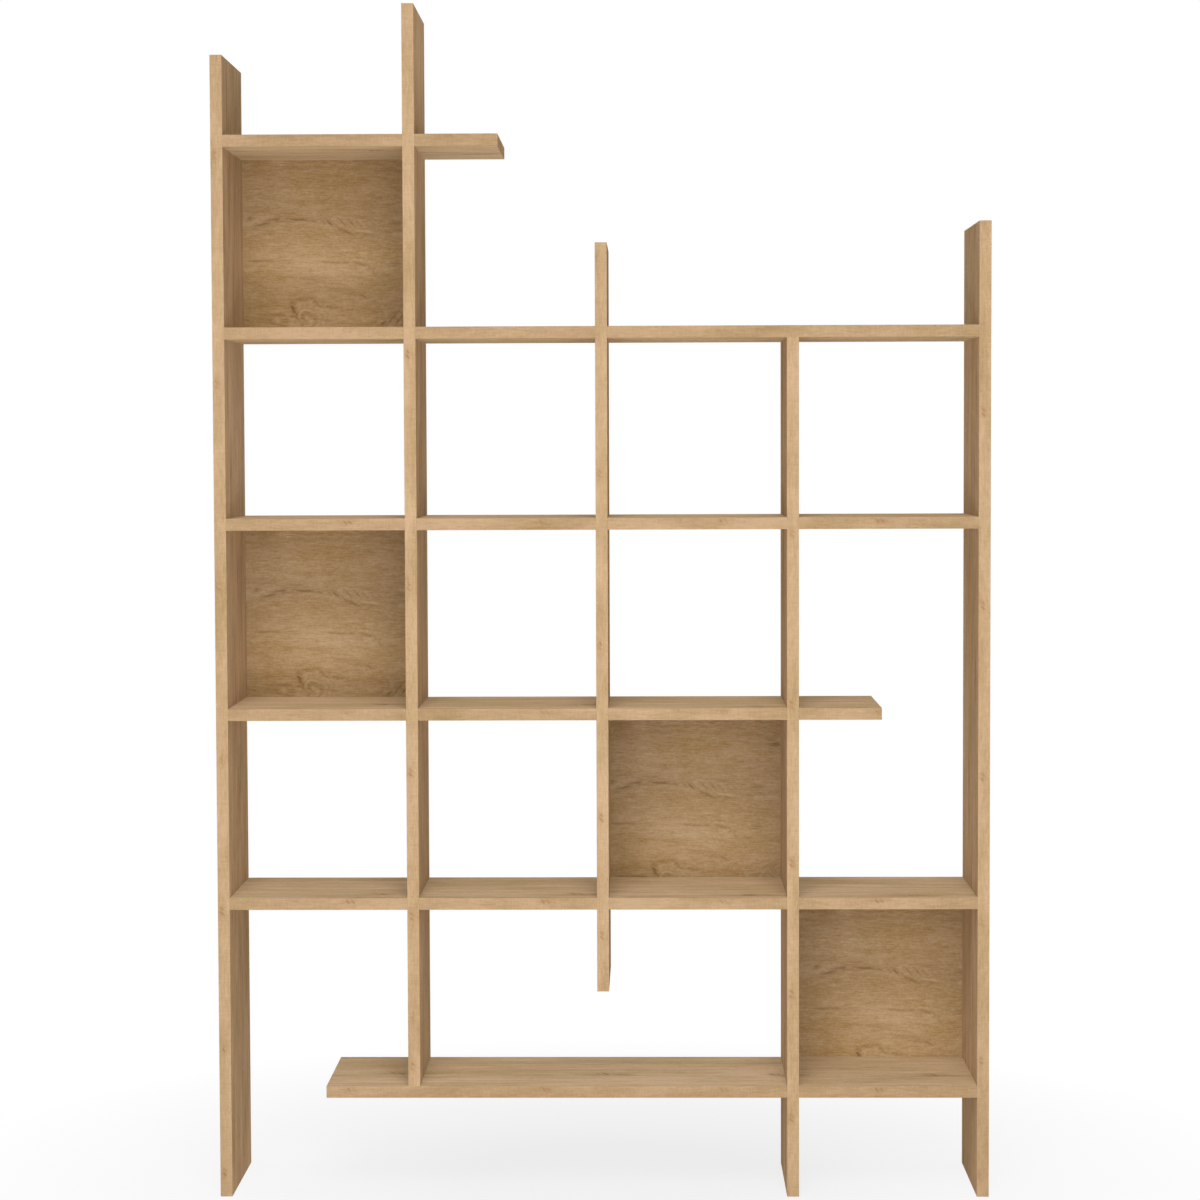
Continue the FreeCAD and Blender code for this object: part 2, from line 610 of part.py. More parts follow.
def build():
    """Make the whole bookshelf."""
    fill_sheet()
    fittings = Fittings()
    shelves = list_shelves()
    join_boards(fittings, shelves)
    nail_panels(fittings)
    section = draw_edging_section()
    make_uprights(section)
    make_shelves(section, shelves)
    make_panels()
    keep_fittings(fittings)
    doc.recompute()
    check_document()
    write_parts()
    whole = Part.makeCompound([item.Shape for item, _ in nodes]).BoundBox
    print(f"{len(nodes)} sub-parts, {sum(count for _, count in nodes)} solids")
    print(f"overall {whole.XLength:.1f} by {whole.YLength:.1f} by {whole.ZLength:.1f} mm")


build()
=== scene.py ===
"""Looks of a staircase bookshelf: oak print, edging, fittings and a studio stage.

Every board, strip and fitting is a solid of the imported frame, so this file holds no new pieces of the
bookshelf: it gives each solid its finish and sets the floor, the lamps and the camera. Metres, +Z up,
front towards -Y.
"""
import math

import bpy
import numpy as np
from mathutils import Matrix, Vector


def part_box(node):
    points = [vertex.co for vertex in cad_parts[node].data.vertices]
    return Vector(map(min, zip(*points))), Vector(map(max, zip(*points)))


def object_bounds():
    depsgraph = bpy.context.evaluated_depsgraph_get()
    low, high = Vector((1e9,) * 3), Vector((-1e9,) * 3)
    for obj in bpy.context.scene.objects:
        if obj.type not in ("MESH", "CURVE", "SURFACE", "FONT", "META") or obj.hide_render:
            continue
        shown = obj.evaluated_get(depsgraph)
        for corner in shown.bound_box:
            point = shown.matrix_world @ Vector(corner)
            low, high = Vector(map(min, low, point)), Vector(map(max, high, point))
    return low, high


bl_info = {
    "name": "Staircase bookshelf finish",
    "version": (1, 0, 0),
    "blender": (4, 5, 0),
    "location": "3D View > Sidebar > Bookshelf",
    "description": "Oak print, edging, fittings and a studio stage for a staircase bookshelf",
    "category": "Object",
}

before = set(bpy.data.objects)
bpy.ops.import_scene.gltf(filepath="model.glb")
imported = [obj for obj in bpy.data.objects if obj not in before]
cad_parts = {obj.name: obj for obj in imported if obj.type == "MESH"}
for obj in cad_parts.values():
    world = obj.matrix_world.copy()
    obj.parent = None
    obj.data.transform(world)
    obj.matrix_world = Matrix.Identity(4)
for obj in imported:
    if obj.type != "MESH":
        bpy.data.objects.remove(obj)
CAD_LOW, CAD_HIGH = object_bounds()

# Pieces of the frame
UPRIGHTS = ("left_upright", "second_upright", "middle_upright", "fourth_upright", "right_upright")
SHELF_NODES = sorted(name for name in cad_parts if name.startswith("shelf_"))
SHELVES = tuple(name for name in SHELF_NODES if not name.endswith("_edging"))
SHELF_EDGINGS = tuple(name for name in SHELF_NODES if name.endswith("_edging"))
PANELS = tuple(sorted(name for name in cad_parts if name.startswith("back_panel_")))

# Directions that the grain can run along or across
X_AXIS = Vector((1, 0, 0))
Y_AXIS = Vector((0, 1, 0))
Z_AXIS = Vector((0, 0, 1))

# Sizes read from the frame
BAY_STARTS = tuple(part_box(name)[1].x for name in UPRIGHTS[:-1])
BAY_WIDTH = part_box(UPRIGHTS[1])[0].x - BAY_STARTS[0]
CELL_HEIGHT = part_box("shelf_2_bay_1")[0].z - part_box("shelf_3_bay_1")[1].z
BOARD_FRONT = CAD_LOW.y
CORE_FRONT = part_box("left_upright")[0].y
BOARD_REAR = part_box("left_upright")[1].y
BOARD_DEPTH = BOARD_REAR - BOARD_FRONT
BOARD_THICKNESS = BAY_STARTS[0] - CAD_LOW.x
TOTAL_WIDTH = CAD_HIGH.x - CAD_LOW.x
TOTAL_HEIGHT = CAD_HIGH.z - CAD_LOW.z

# A point no deeper than this lies on a board's printed face
SKIN = 0.00005
# Painted highlight along the long corners of a strip: its width in from each corner
ARRIS_HIGHLIGHT_WIDTH = 0.0012

# Marks in the print: place along and across, half length, half width, push, slant and depth, in metres
# but for the depth. Push parts the grain round a mark and slant tilts it over one half length. Depth
# darkens it or, below zero, pales it. A knot, streak or speck is a few such strokes about its own place.
KNOT_STROKES = (
    (0.000, 0.0000, 0.040, 0.0140, 0.0030, 0.0000, 0.34),
    (-0.008, 0.0030, 0.006, 0.0050, 0.0000, -0.0080, 0.44),
    (0.004, 0.0000, 0.006, 0.0050, 0.0000, -0.0080, 0.50),
    (0.030, -0.0020, 0.024, 0.0060, 0.0000, -0.0030, 0.30),
)
STREAK_STROKES = (
    (0.000, 0.0000, 0.050, 0.0040, 0.0010, 0.0000, 0.50),
    (0.030, 0.0060, 0.036, 0.0024, 0.0000, 0.0000, 0.50),
)
SPECK_STROKES = (
    (0.000, 0.0000, 0.0110, 0.0045, 0.0008, 0.0000, 0.32),
    (-0.004, 0.0008, 0.0028, 0.0024, 0.0000, -0.0030, 0.52),
    (0.004, 0.0004, 0.0028, 0.0024, 0.0000, -0.0030, 0.44),
)
# A board takes the marks that lie on it or this near its ends
MARK_REACH = 0.06
# Knots on the shelves: shares of the overall width from the middle and of the board's depth, for each line
SHELF_KNOT_SHARES = {
    "shelf_1": ((-0.291, 0.30), (-0.170, 0.60)),
    "shelf_2": ((-0.291, 0.30), (-0.030, 0.32), (0.202, 0.20), (0.400, 0.20)),
    "shelf_3": ((-0.291, 0.30), (-0.030, 0.32), (0.202, 0.20), (0.400, 0.20)),
    "shelf_4": ((-0.291, 0.36), (-0.029, 0.32), (0.202, 0.14)),
    "shelf_5": ((-0.291, 0.19), (-0.032, 0.17), (0.193, 0.12), (0.396, 0.09)),
    "shelf_6": ((-0.273, 0.42), (-0.002, 0.40), (0.229, 0.37), (0.432, 0.36)),
}
# Dark streaks on the uprights' faces: shares of the overall height and of the board's depth
UPRIGHT_STREAK_SHARES = (
    (0.055, 0.72), (0.150, 0.30), (0.245, 0.14), (0.340, 0.60), (0.432, 0.16), (0.515, 0.55),
    (0.600, 0.26), (0.676, 0.15), (0.760, 0.48), (0.820, 0.30), (0.920, 0.22),
)
# Specks on the shelves' front strips: share of each bay's width, and strength on each line
SHELF_SPECK_SHARES = (0.68, 0.71, 0.645, 0.45)
SPECK_STRENGTH_SHARES = {
    "shelf_1": 0.3, "shelf_2": 0.4, "shelf_3": 1.0, "shelf_4": 0.6, "shelf_5": 1.0, "shelf_6": 1.0,
}
# Specks on the uprights' front strips: shares of the overall height
UPRIGHT_SPECK_SHARES = {
    "left_upright": (0.021, 0.127, 0.243, 0.370, 0.517, 0.685, 0.876),
    "second_upright": (0.111, 0.238, 0.360, 0.516, 0.710),
    "middle_upright": (0.222, 0.322, 0.466, 0.610),
    "fourth_upright": (0.067, 0.172, 0.283, 0.416, 0.560),
    "right_upright": (0.017, 0.116, 0.233, 0.355, 0.499, 0.660),
}
# The specks lie this far from the middle of a strip
SPECK_OFFSET = 0.0030
# Tone of the strips in red, green and blue
UPRIGHT_STRIP_SHARES = (1.00, 1.00, 1.00)
SHELF_STRIP_SHARES = (0.89, 0.88, 0.86)
# The strips on the free ends are paler by this share: painted light on the ends, which face the sides
END_STRIP_PAINTED_LIGHT_SHARE = 1.4
# Marks of the back panels, print and painted light: shares of the cell's width along and of its height for
# the rest
PANEL_PRINT_AND_PAINTED_LIGHT_SHARES = (
    # Painted shadow of the shelf above along the top, painted shade at the top right, a pale band, painted
    # light in the lower middle, a warm patch below it
    (0.50, 1.050, 0.90, 0.170, 0.000, 0.000, 0.40),
    (1.00, 0.800, 0.17, 0.240, 0.000, 0.000, 0.05),
    (0.45, 0.745, 0.50, 0.070, 0.000, 0.000, -0.10),
    (0.47, 0.360, 0.26, 0.110, 0.000, 0.000, -0.14),
    (0.60, 0.225, 0.12, 0.036, 0.000, 0.000, 0.14),
    # Broken dark line across the panel
    (0.04, 0.660, 0.020, 0.014, 0.006, 0.006, 0.54),
    (0.07, 0.645, 0.024, 0.009, 0.000, 0.018, -0.20),
    (0.12, 0.632, 0.060, 0.012, 0.002, 0.012, 0.54),
    (0.21, 0.658, 0.070, 0.018, 0.000, 0.008, 0.50),
    (0.33, 0.656, 0.080, 0.010, 0.002, 0.000, 0.60),
    (0.89, 0.634, 0.060, 0.012, 0.000, 0.000, 0.42),
    (0.90, 0.590, 0.070, 0.012, 0.000, 0.004, 0.38),
    # Short strokes that hang from its right half, and the curve they run into
    (0.425, 0.648, 0.018, 0.010, 0.003, -0.008, 0.52),
    (0.465, 0.645, 0.018, 0.010, 0.003, -0.012, 0.54),
    (0.510, 0.634, 0.028, 0.010, 0.003, -0.026, 0.66),
    (0.545, 0.622, 0.028, 0.008, 0.000, -0.028, 0.52),
    (0.590, 0.632, 0.026, 0.008, 0.000, -0.026, 0.54),
    (0.635, 0.636, 0.022, 0.008, 0.000, -0.020, 0.52),
    (0.675, 0.636, 0.020, 0.008, 0.000, -0.016, 0.42),
    (0.715, 0.636, 0.020, 0.008, 0.000, -0.014, 0.40),
    (0.760, 0.634, 0.020, 0.008, 0.000, -0.012, 0.34),
    (0.615, 0.606, 0.026, 0.007, 0.000, -0.022, -0.26),
    (0.710, 0.590, 0.060, 0.007, 0.000, -0.008, -0.26),
    (0.600, 0.588, 0.040, 0.008, 0.000, -0.020, 0.36),
    (0.700, 0.572, 0.070, 0.008, 0.000, -0.006, 0.52),
    # Thin lines below it, with an arch
    (0.22, 0.487, 0.022, 0.008, 0.000, 0.000, 0.30),
    (0.09, 0.419, 0.075, 0.009, 0.000, 0.000, 0.52),
    (0.24, 0.417, 0.060, 0.007, 0.000, 0.000, 0.40),
    (0.55, 0.408, 0.110, 0.007, 0.000, -0.002, 0.58),
    (0.69, 0.394, 0.034, 0.009, 0.000, -0.006, 0.44),
    (0.745, 0.372, 0.028, 0.009, 0.000, -0.024, 0.40),
    (0.770, 0.340, 0.014, 0.016, 0.000, -0.020, 0.28),
    (0.89, 0.396, 0.060, 0.012, 0.000, 0.000, 0.48),
    (0.55, 0.257, 0.070, 0.007, 0.000, -0.006, 0.38),
    (0.70, 0.212, 0.030, 0.009, 0.000, -0.014, 0.40),
    # Swirl near the bottom, and the lines that run out of it
    (0.290, 0.158, 0.016, 0.036, 0.000, -0.012, 0.62),
    (0.310, 0.098, 0.022, 0.022, 0.003, -0.036, 0.70),
    (0.352, 0.080, 0.020, 0.016, 0.003, -0.026, 0.56),
    (0.332, 0.136, 0.011, 0.036, 0.000, -0.018, -0.16),
    (0.355, 0.198, 0.036, 0.010, 0.000, 0.000, 0.44),
    (0.396, 0.168, 0.016, 0.024, 0.000, -0.012, -0.14),
    (0.430, 0.170, 0.026, 0.010, 0.000, -0.022, 0.48),
    (0.530, 0.148, 0.070, 0.009, 0.000, -0.006, 0.46),
    (0.45, 0.076, 0.060, 0.010, 0.000, -0.008, 0.36),
    # Fan in the bottom right corner
    (0.820, 0.060, 0.032, 0.010, 0.000, 0.028, 0.66),
    (0.868, 0.078, 0.038, 0.010, 0.000, 0.044, 0.66),
    (0.916, 0.080, 0.038, 0.011, 0.000, 0.050, 0.70),
    (0.962, 0.070, 0.032, 0.012, 0.000, 0.046, 0.70),
    # Dark knot at the right edge
    (1.000, 0.890, 0.040, 0.032, 0.000, 0.000, 0.50),
)
# The panels are cut from one print: shift of the print along and up, and tone, for each
PANEL_CUT_SHARES = {
    "back_panel_top_left": (0.000, 0.000, 1.08),
    "back_panel_mid_left": (0.019, -0.033, 0.98),
    "back_panel_centre": (-0.033, -0.100, 0.94),
    "back_panel_low_right": (0.100, -0.130, 1.03),
}
# Growth rings of the back panels: place, half length, half width, number of rings in that and depth
PANEL_EYE_SHARES = (
    (0.375, 0.055, 0.100, 0.140, 2.6, 0.22),
    (0.250, 0.800, 0.300, 0.130, 5.0, 0.08),
    (0.560, 0.210, 0.170, 0.052, 1.4, 0.14),
    (0.186, 0.080, 0.120, 0.050, 0.9, -0.30),
    (1.000, 0.010, 0.240, 0.150, 4.0, 0.26),
    (0.840, 0.480, 0.260, 0.140, 3.0, 0.10),
)

# Scales of the noises, per metre: along the grain, across it and through the board
WANDER_SCALE = (4.0, 14.0, 14.0)
BROAD_SCALE = (6.0, 19.0, 19.0)
STREAK_SCALE = (11.0, 60.0, 60.0)
FIBRE_SCALE = (60.0, 400.0, 400.0)
SPECKLE_SCALE = (260.0, 430.0, 430.0)
STROKE_SCALE = (60.0, 300.0, 300.0)
TICK_SCALE = (420.0, 45.0, 45.0)
EYE_WAVER_SCALE = (30.0, 45.0, 45.0)
CHIP_SCALE = 420.0
GRIT_SCALE = (1260.0, 1260.0, 1260.0)
CLOUD_SCALE = (160.0, 160.0, 160.0)
SCUFF_SCALE = (2600.0, 2600.0, 900.0)
# How far the grain wanders across, in metres, and growth rings waver, in half sizes
WANDER_REACH = 0.012
EYE_WAVER = 1.20
# Detail of the noises, from smooth to rich, roughness of the grain's and the value that they swing about
FINE_DETAIL = 1.0
SOFT_DETAIL = 2.0
RICH_DETAIL = 3.0
GRAIN_ROUGHNESS = 0.6
NOISE_MIDDLE = 0.5
# Each board takes its own stretch of the print, this far from the next, and the grain on the boards runs
# longer than on the panels
BOARD_SHUFFLE = 0.37
BOARD_STRETCH = (0.6, 1.0, 1.0)
# Strength of each layer of the print on boards, back panels, strips and dowels
BOARD_PRINT = {"Bands": 1.3, "Streaks": 1.4, "Fibres": 1.4, "Speckle": 0.8}
PANEL_PRINT = {"Bands": 0.75, "Streaks": 0.9, "Fibres": 1.15, "Speckle": 0.75}
STRIP_PRINT = {"Bands": 1.8, "Streaks": 1.0, "Fibres": 1.2, "Speckle": 0.6, "Ticks": 0.5}
DOWEL_PRINT = {"Bands": 1.0, "Streaks": 1.2, "Fibres": 0.8}
# Tone between light and dark wood where the layers are even, and how broad patches turn pink or golden
TONE_MIDDLE = 0.42
PINK_SLOPE = -2.5
PINK_MIDDLE = 0.5
PINK_TINT = (1.02, 0.985, 1.03)
GOLD_TINT = (1.00, 1.005, 0.96)
# How a noise breaks the dark marks into strokes
BREAK_SLOPE = 4.0
BREAK_MIDDLE = 0.75
# Roughness of the print, what dark wood, raw chips and bare hardboard add to it, and the metals' own
PRINT_ROUGHNESS = 0.50
DARK_ROUGHNESS = 0.14
RAW_ROUGHNESS = 0.3
HARDBOARD_ROUGHNESS = 0.2
ZINC_ROUGHNESS = 0.38
STEEL_ROUGHNESS = 0.30
SCUFF_ROUGHNESS = 0.25
# Shares of the streaks in the print's height, of chips and grit in the raw board's tone, and of clouds
# and scuffs in the metals' tone
STREAK_HEIGHT_SHARE = 0.4
CHIP_SHARE = 0.6
GRIT_SHARE = 0.5
CLOUD_SHARE = 0.5
SCUFF_SHARE = 0.4
# Dark parts as shares of the light ones, and the share of light wood painted on the strips' corners as a
# highlight
DULL_METAL_SHARES = (0.45, 0.45, 0.46)
HARDBOARD_DARK_SHARE = 0.8
BEECH_DARK_SHARE = 0.75
ARRIS_HIGHLIGHT_SHARE = 0.35
# Bump of each finish: strength and depth in metres. Raw chips stand out more than the print.
BOARD_BUMP = (0.25, 0.0002)
PANEL_BUMP = (0.12, 0.0002)
STRIP_BUMP = (0.15, 0.0002)
METAL_BUMP = (0.1, 0.0001)
DOWEL_BUMP = (0.2, 0.0002)
CHIP_HEIGHT = 3.0
# Mirror level of the matt print when faced, and how fast it falls towards a grazing view
MATT_LEVEL = 0.25
MATT_POWER = 4.0
# Share of its colour that light loses as it bounces off a board, and the parts of red, green and blue
# in the grey that it turns to
BOUNCE_GREY_SHARE = 0.60
GREY_SHARES = (0.30, 0.59, 0.11)

# Soft lamps: name, place, width, height and share of the lamp power. The fills behind and at the sides
# light the faces that turn away from the key.
LAMPS = (
    ("key", (0.0, -4.2, 4.2), 3.2, 2.4, 0.69),
    ("steep_fill", (0.0, -2.7, 4.7), 3.2, 2.0, 0.12),
    ("low_fill", (0.0, -2.6, 0.3), 3.4, 0.5, 0.14),
    ("near_fill", (0.0, -2.3, 0.8), 1.2, 1.0, 0.06),
    ("rear_fill", (0.0, 8.5, 1.2), 2.8, 1.6, 0.60),
    ("left_fill", (-3.5, 0.2, 0.9), 1.2, 0.6, 0.13),
    ("right_fill", (3.5, 0.2, 0.9), 1.2, 0.6, 0.13),
)

# Floor: points along a side, grey of its own colour, share of white where it is seen near the bookshelf,
# and where that starts to rise and over what distance it reaches plain white
FLOOR_POINTS = 9
FLOOR_GREY = 0.75
NEAR_WHITE_SHARE = 0.78
FADE_START = 0.225
FADE_REACH = 0.9

# The fitted view of the photographed bookshelf
CAMERA_PLACE = (0.0692, -4.6573, 1.1420)
CAMERA_YAW = math.radians(-0.908)
CAMERA_DIP = math.radians(2.921)
CAMERA_ROLL = math.radians(0.200)
SENSOR_WIDTH = 36.0
VIEW_REACH = 100.0


def shade(red, green, blue):
    """Linear light of a display colour given as 0 to 255: the standard curve, one channel at a time."""
    def channel(value):
        part = value / 255
        return part / 12.92 if part <= 0.04045 else ((part + 0.055) / 1.055) ** 2.4
    return tuple(channel(value) for value in (red, green, blue))


def colour_property(label, meaning, red, green, blue):
    """Colour setting of the sidebar, from a display colour."""
    return bpy.props.FloatVectorProperty(name=label, description=meaning, subtype="COLOR", size=3,
                                         min=0.0, max=1.0, default=shade(red, green, blue))


class BookshelfColours(bpy.types.PropertyGroup):
    """Colours of the finishes."""
    upright_light: colour_property("Upright light", "Early wood of the uprights' print", 226, 192, 150)
    upright_dark: colour_property("Upright dark", "Late wood of the uprights' print", 186, 149, 108)
    # The shelves are the same board as the uprights, given paler colours: painted light on their tops,
    # which face the lamps above.
    shelf_light_with_painted_light: colour_property("Shelf light", "Early wood of the shelves' print", 240, 211, 170)
    shelf_dark_with_painted_light: colour_property("Shelf dark", "Late wood of the shelves' print", 206, 172, 128)
    edging_light: colour_property("Edging light", "Light part of the edging strips", 197, 166, 127)
    edging_dark: colour_property("Edging dark", "Dark part of the edging strips", 166, 135, 95)
    panel_light: colour_property("Panel light", "Light part of the back panels' print", 195, 166, 126)
    panel_dark: colour_property("Panel dark", "Dark part of the back panels' print", 156, 117, 59)
    panel_mark: colour_property("Panel mark", "Dark strokes of the back panels' print", 115, 77, 28)
    knot: colour_property("Knot", "Knots and specks of the print", 146, 99, 52)
    chip_light: colour_property("Chip light", "Pale chips on raw edges", 205, 176, 134)
    chip_dark: colour_property("Chip dark", "Dark chips on raw edges", 150, 114, 74)
    hardboard: colour_property("Hardboard", "Unprinted back of the panels", 166, 128, 89)
    zinc: colour_property("Zinc", "Cam locks", 176, 178, 180)
    steel: colour_property("Steel", "Bolts and nails", 190, 188, 182)
    beech: colour_property("Beech", "Dowels", 216, 178, 134)


class BookshelfStage(bpy.types.PropertyGroup):
    """Floor, lamps and camera."""
    sky_level: bpy.props.FloatProperty(name="Sky", description="Even light from all round",
                                       default=0.19, min=0)
    lamp_power: bpy.props.FloatProperty(name="Lamps", description="Watts that the lamps take shares of",
                                        default=176.0, min=0)
    floor_radius: bpy.props.FloatProperty(name="Floor radius", description="Half side of the floor",
                                          default=9.0, unit="LENGTH", subtype="DISTANCE")
    lens: bpy.props.FloatProperty(name="Lens", description="Focal length in millimetres", default=90.56)


# Small helpers for node trees

def add_node(tree, kind, **settings):
    """New node with its settings."""
    node = tree.nodes.new(kind)
    for name, value in settings.items():
        setattr(node, name, value)
    return node


def feed(tree, socket, value):
    """Link a socket to another, or set its plain value."""
    if isinstance(value, bpy.types.NodeSocket):
        tree.links.new(value, socket)
    elif socket.type == "RGBA":
        socket.default_value = (*value, 1.0)
    else:
        socket.default_value = value


def calc(tree, operation, *values, clamp=False):
    """Math node on sockets or plain numbers."""
    node = add_node(tree, "ShaderNodeMath", operation=operation, use_clamp=clamp)
    for socket, value in zip(node.inputs, values):
        feed(tree, socket, value)
    return node.outputs[0]


def vector_calc(tree, operation, *values):
    """Vector Math node on sockets or plain vectors."""
    node = add_node(tree, "ShaderNodeVectorMath", operation=operation)
    for socket, value in zip(node.inputs, values):
        feed(tree, socket, value)
    return node.outputs[0]


def noise(tree, vector, scale, detail=2.0, roughness=0.5):
    """Soft noise, about 0 to 1, on a vector stretched by a scale per metre."""
    node = add_node(tree, "ShaderNodeTexNoise")
    feed(tree, node.inputs["Vector"], vector_calc(tree, "MULTIPLY", vector, scale))
    feed(tree, node.inputs["Scale"], 1.0)
    feed(tree, node.inputs["Detail"], detail)
    feed(tree, node.inputs["Roughness"], roughness)
    return node.outputs[0]


def blend_colours(tree, factor, first, second, mode="MIX"):
    """Mix two colours by a factor."""
    node = add_node(tree, "ShaderNodeMix", data_type="RGBA", blend_type=mode, clamp_factor=True)
    feed(tree, node.inputs[0], factor)
    feed(tree, node.inputs[6], first)
    feed(tree, node.inputs[7], second)
    return node.outputs[2]


def split(tree, vector):
    """The three parts of a vector."""
    node = add_node(tree, "ShaderNodeSeparateXYZ")
    feed(tree, node.inputs[0], vector)
    return node.outputs


def gather(tree, x, y, z):
    """A vector from three parts."""
    node = add_node(tree, "ShaderNodeCombineXYZ")
    for socket, value in zip(node.inputs, (x, y, z)):
        feed(tree, socket, value)
    return node.outputs[0]


def start_group(name, inputs, outputs):
    """New shader node group with named sockets, and its entry and exit nodes."""
    group = bpy.data.node_groups.new(name, "ShaderNodeTree")
    for label, kind in inputs:
        group.interface.new_socket(name=label, in_out="INPUT", socket_type="NodeSocket" + kind)
    for label, kind in outputs:
        group.interface.new_socket(name=label, in_out="OUTPUT", socket_type="NodeSocket" + kind)
    return group, add_node(group, "NodeGroupInput").outputs, add_node(group, "NodeGroupOutput").inputs


def use_group(tree, group, **values):
    """Place a node group in a tree; underscores in the names stand for spaces."""
    node = add_node(tree, "ShaderNodeGroup", node_tree=group)
    for label, value in values.items():
        feed(tree, node.inputs[label.replace("_", " ")], value)
    return node.outputs


def shared_group(name, make):
    """A node group built once and found again by its name."""
    return bpy.data.node_groups.get(name) or make(name)


# Shared effects

def make_grain_mark(name):
    """One stroke of the print.

    With u the distance along the grain in half lengths, and v the distance across it in half widths from a
    line that rises by the slant over one half length, its strength is s = exp(-(u^2 + v^2)). It adds
    s * depth to the darkness and s * (push * v + slant * u) to the grain's shift across.
    """
    group, given, result = start_group(
        name,
        (("Vector", "Vector"), ("Dark", "Float"), ("Shift", "Float"), ("Along", "Float"),
         ("Across", "Float"), ("Half Length", "Float"), ("Half Width", "Float"), ("Push", "Float"),
         ("Slant", "Float"), ("Depth", "Float")),
        (("Dark", "Float"), ("Shift", "Float")))
    x, y = split(group, given["Vector"])[:2]
    u = calc(group, "DIVIDE", calc(group, "SUBTRACT", x, given["Along"]), given["Half Length"])
    tilt = calc(group, "MULTIPLY", u, given["Slant"])
    aside = calc(group, "SUBTRACT", calc(group, "SUBTRACT", y, given["Across"]), tilt)
    v = calc(group, "DIVIDE", aside, given["Half Width"])
    square = calc(group, "MULTIPLY_ADD", u, u, calc(group, "MULTIPLY", v, v))
    strength = calc(group, "EXPONENT", calc(group, "MULTIPLY", square, -1.0))
    shift = calc(group, "MULTIPLY_ADD", v, given["Push"], tilt)
    feed(group, result["Dark"], calc(group, "MULTIPLY_ADD", strength, given["Depth"], given["Dark"]))
    feed(group, result["Shift"], calc(group, "MULTIPLY_ADD", strength, shift, given["Shift"]))
    return group


def make_grain_eye(name):
    """Growth rings round one place of the print.

    With r the distance from that place, in half lengths along the grain and half widths across it, made
    uneven by a noise, it adds depth * exp(-r^2) * cos(2 pi * rings * r) to the darkness.
    """
    group, given, result = start_group(
        name,
        (("Vector", "Vector"), ("Dark", "Float"), ("Along", "Float"), ("Across", "Float"),
         ("Half Length", "Float"), ("Half Width", "Float"), ("Rings", "Float"), ("Depth", "Float")),
        (("Dark", "Float"),))
    x, y = split(group, given["Vector"])[:2]
    u = calc(group, "DIVIDE", calc(group, "SUBTRACT", x, given["Along"]), given["Half Length"])
    v = calc(group, "DIVIDE", calc(group, "SUBTRACT", y, given["Across"]), given["Half Width"])
    even = calc(group, "SQRT", calc(group, "MULTIPLY_ADD", u, u, calc(group, "MULTIPLY", v, v)))
    waver = calc(group, "SUBTRACT", noise(group, given["Vector"], EYE_WAVER_SCALE), NOISE_MIDDLE)
    radius = calc(group, "MULTIPLY_ADD", waver, EYE_WAVER, even)
    fade = calc(group, "EXPONENT", calc(group, "MULTIPLY", calc(group, "MULTIPLY", radius, radius), -1.0))
    turn = calc(group, "MULTIPLY", calc(group, "MULTIPLY", radius, given["Rings"]), 2 * math.pi)
    ring = calc(group, "MULTIPLY", fade, calc(group, "COSINE", turn))
    feed(group, result["Dark"], calc(group, "MULTIPLY_ADD", ring, given["Depth"], given["Dark"]))
    return group


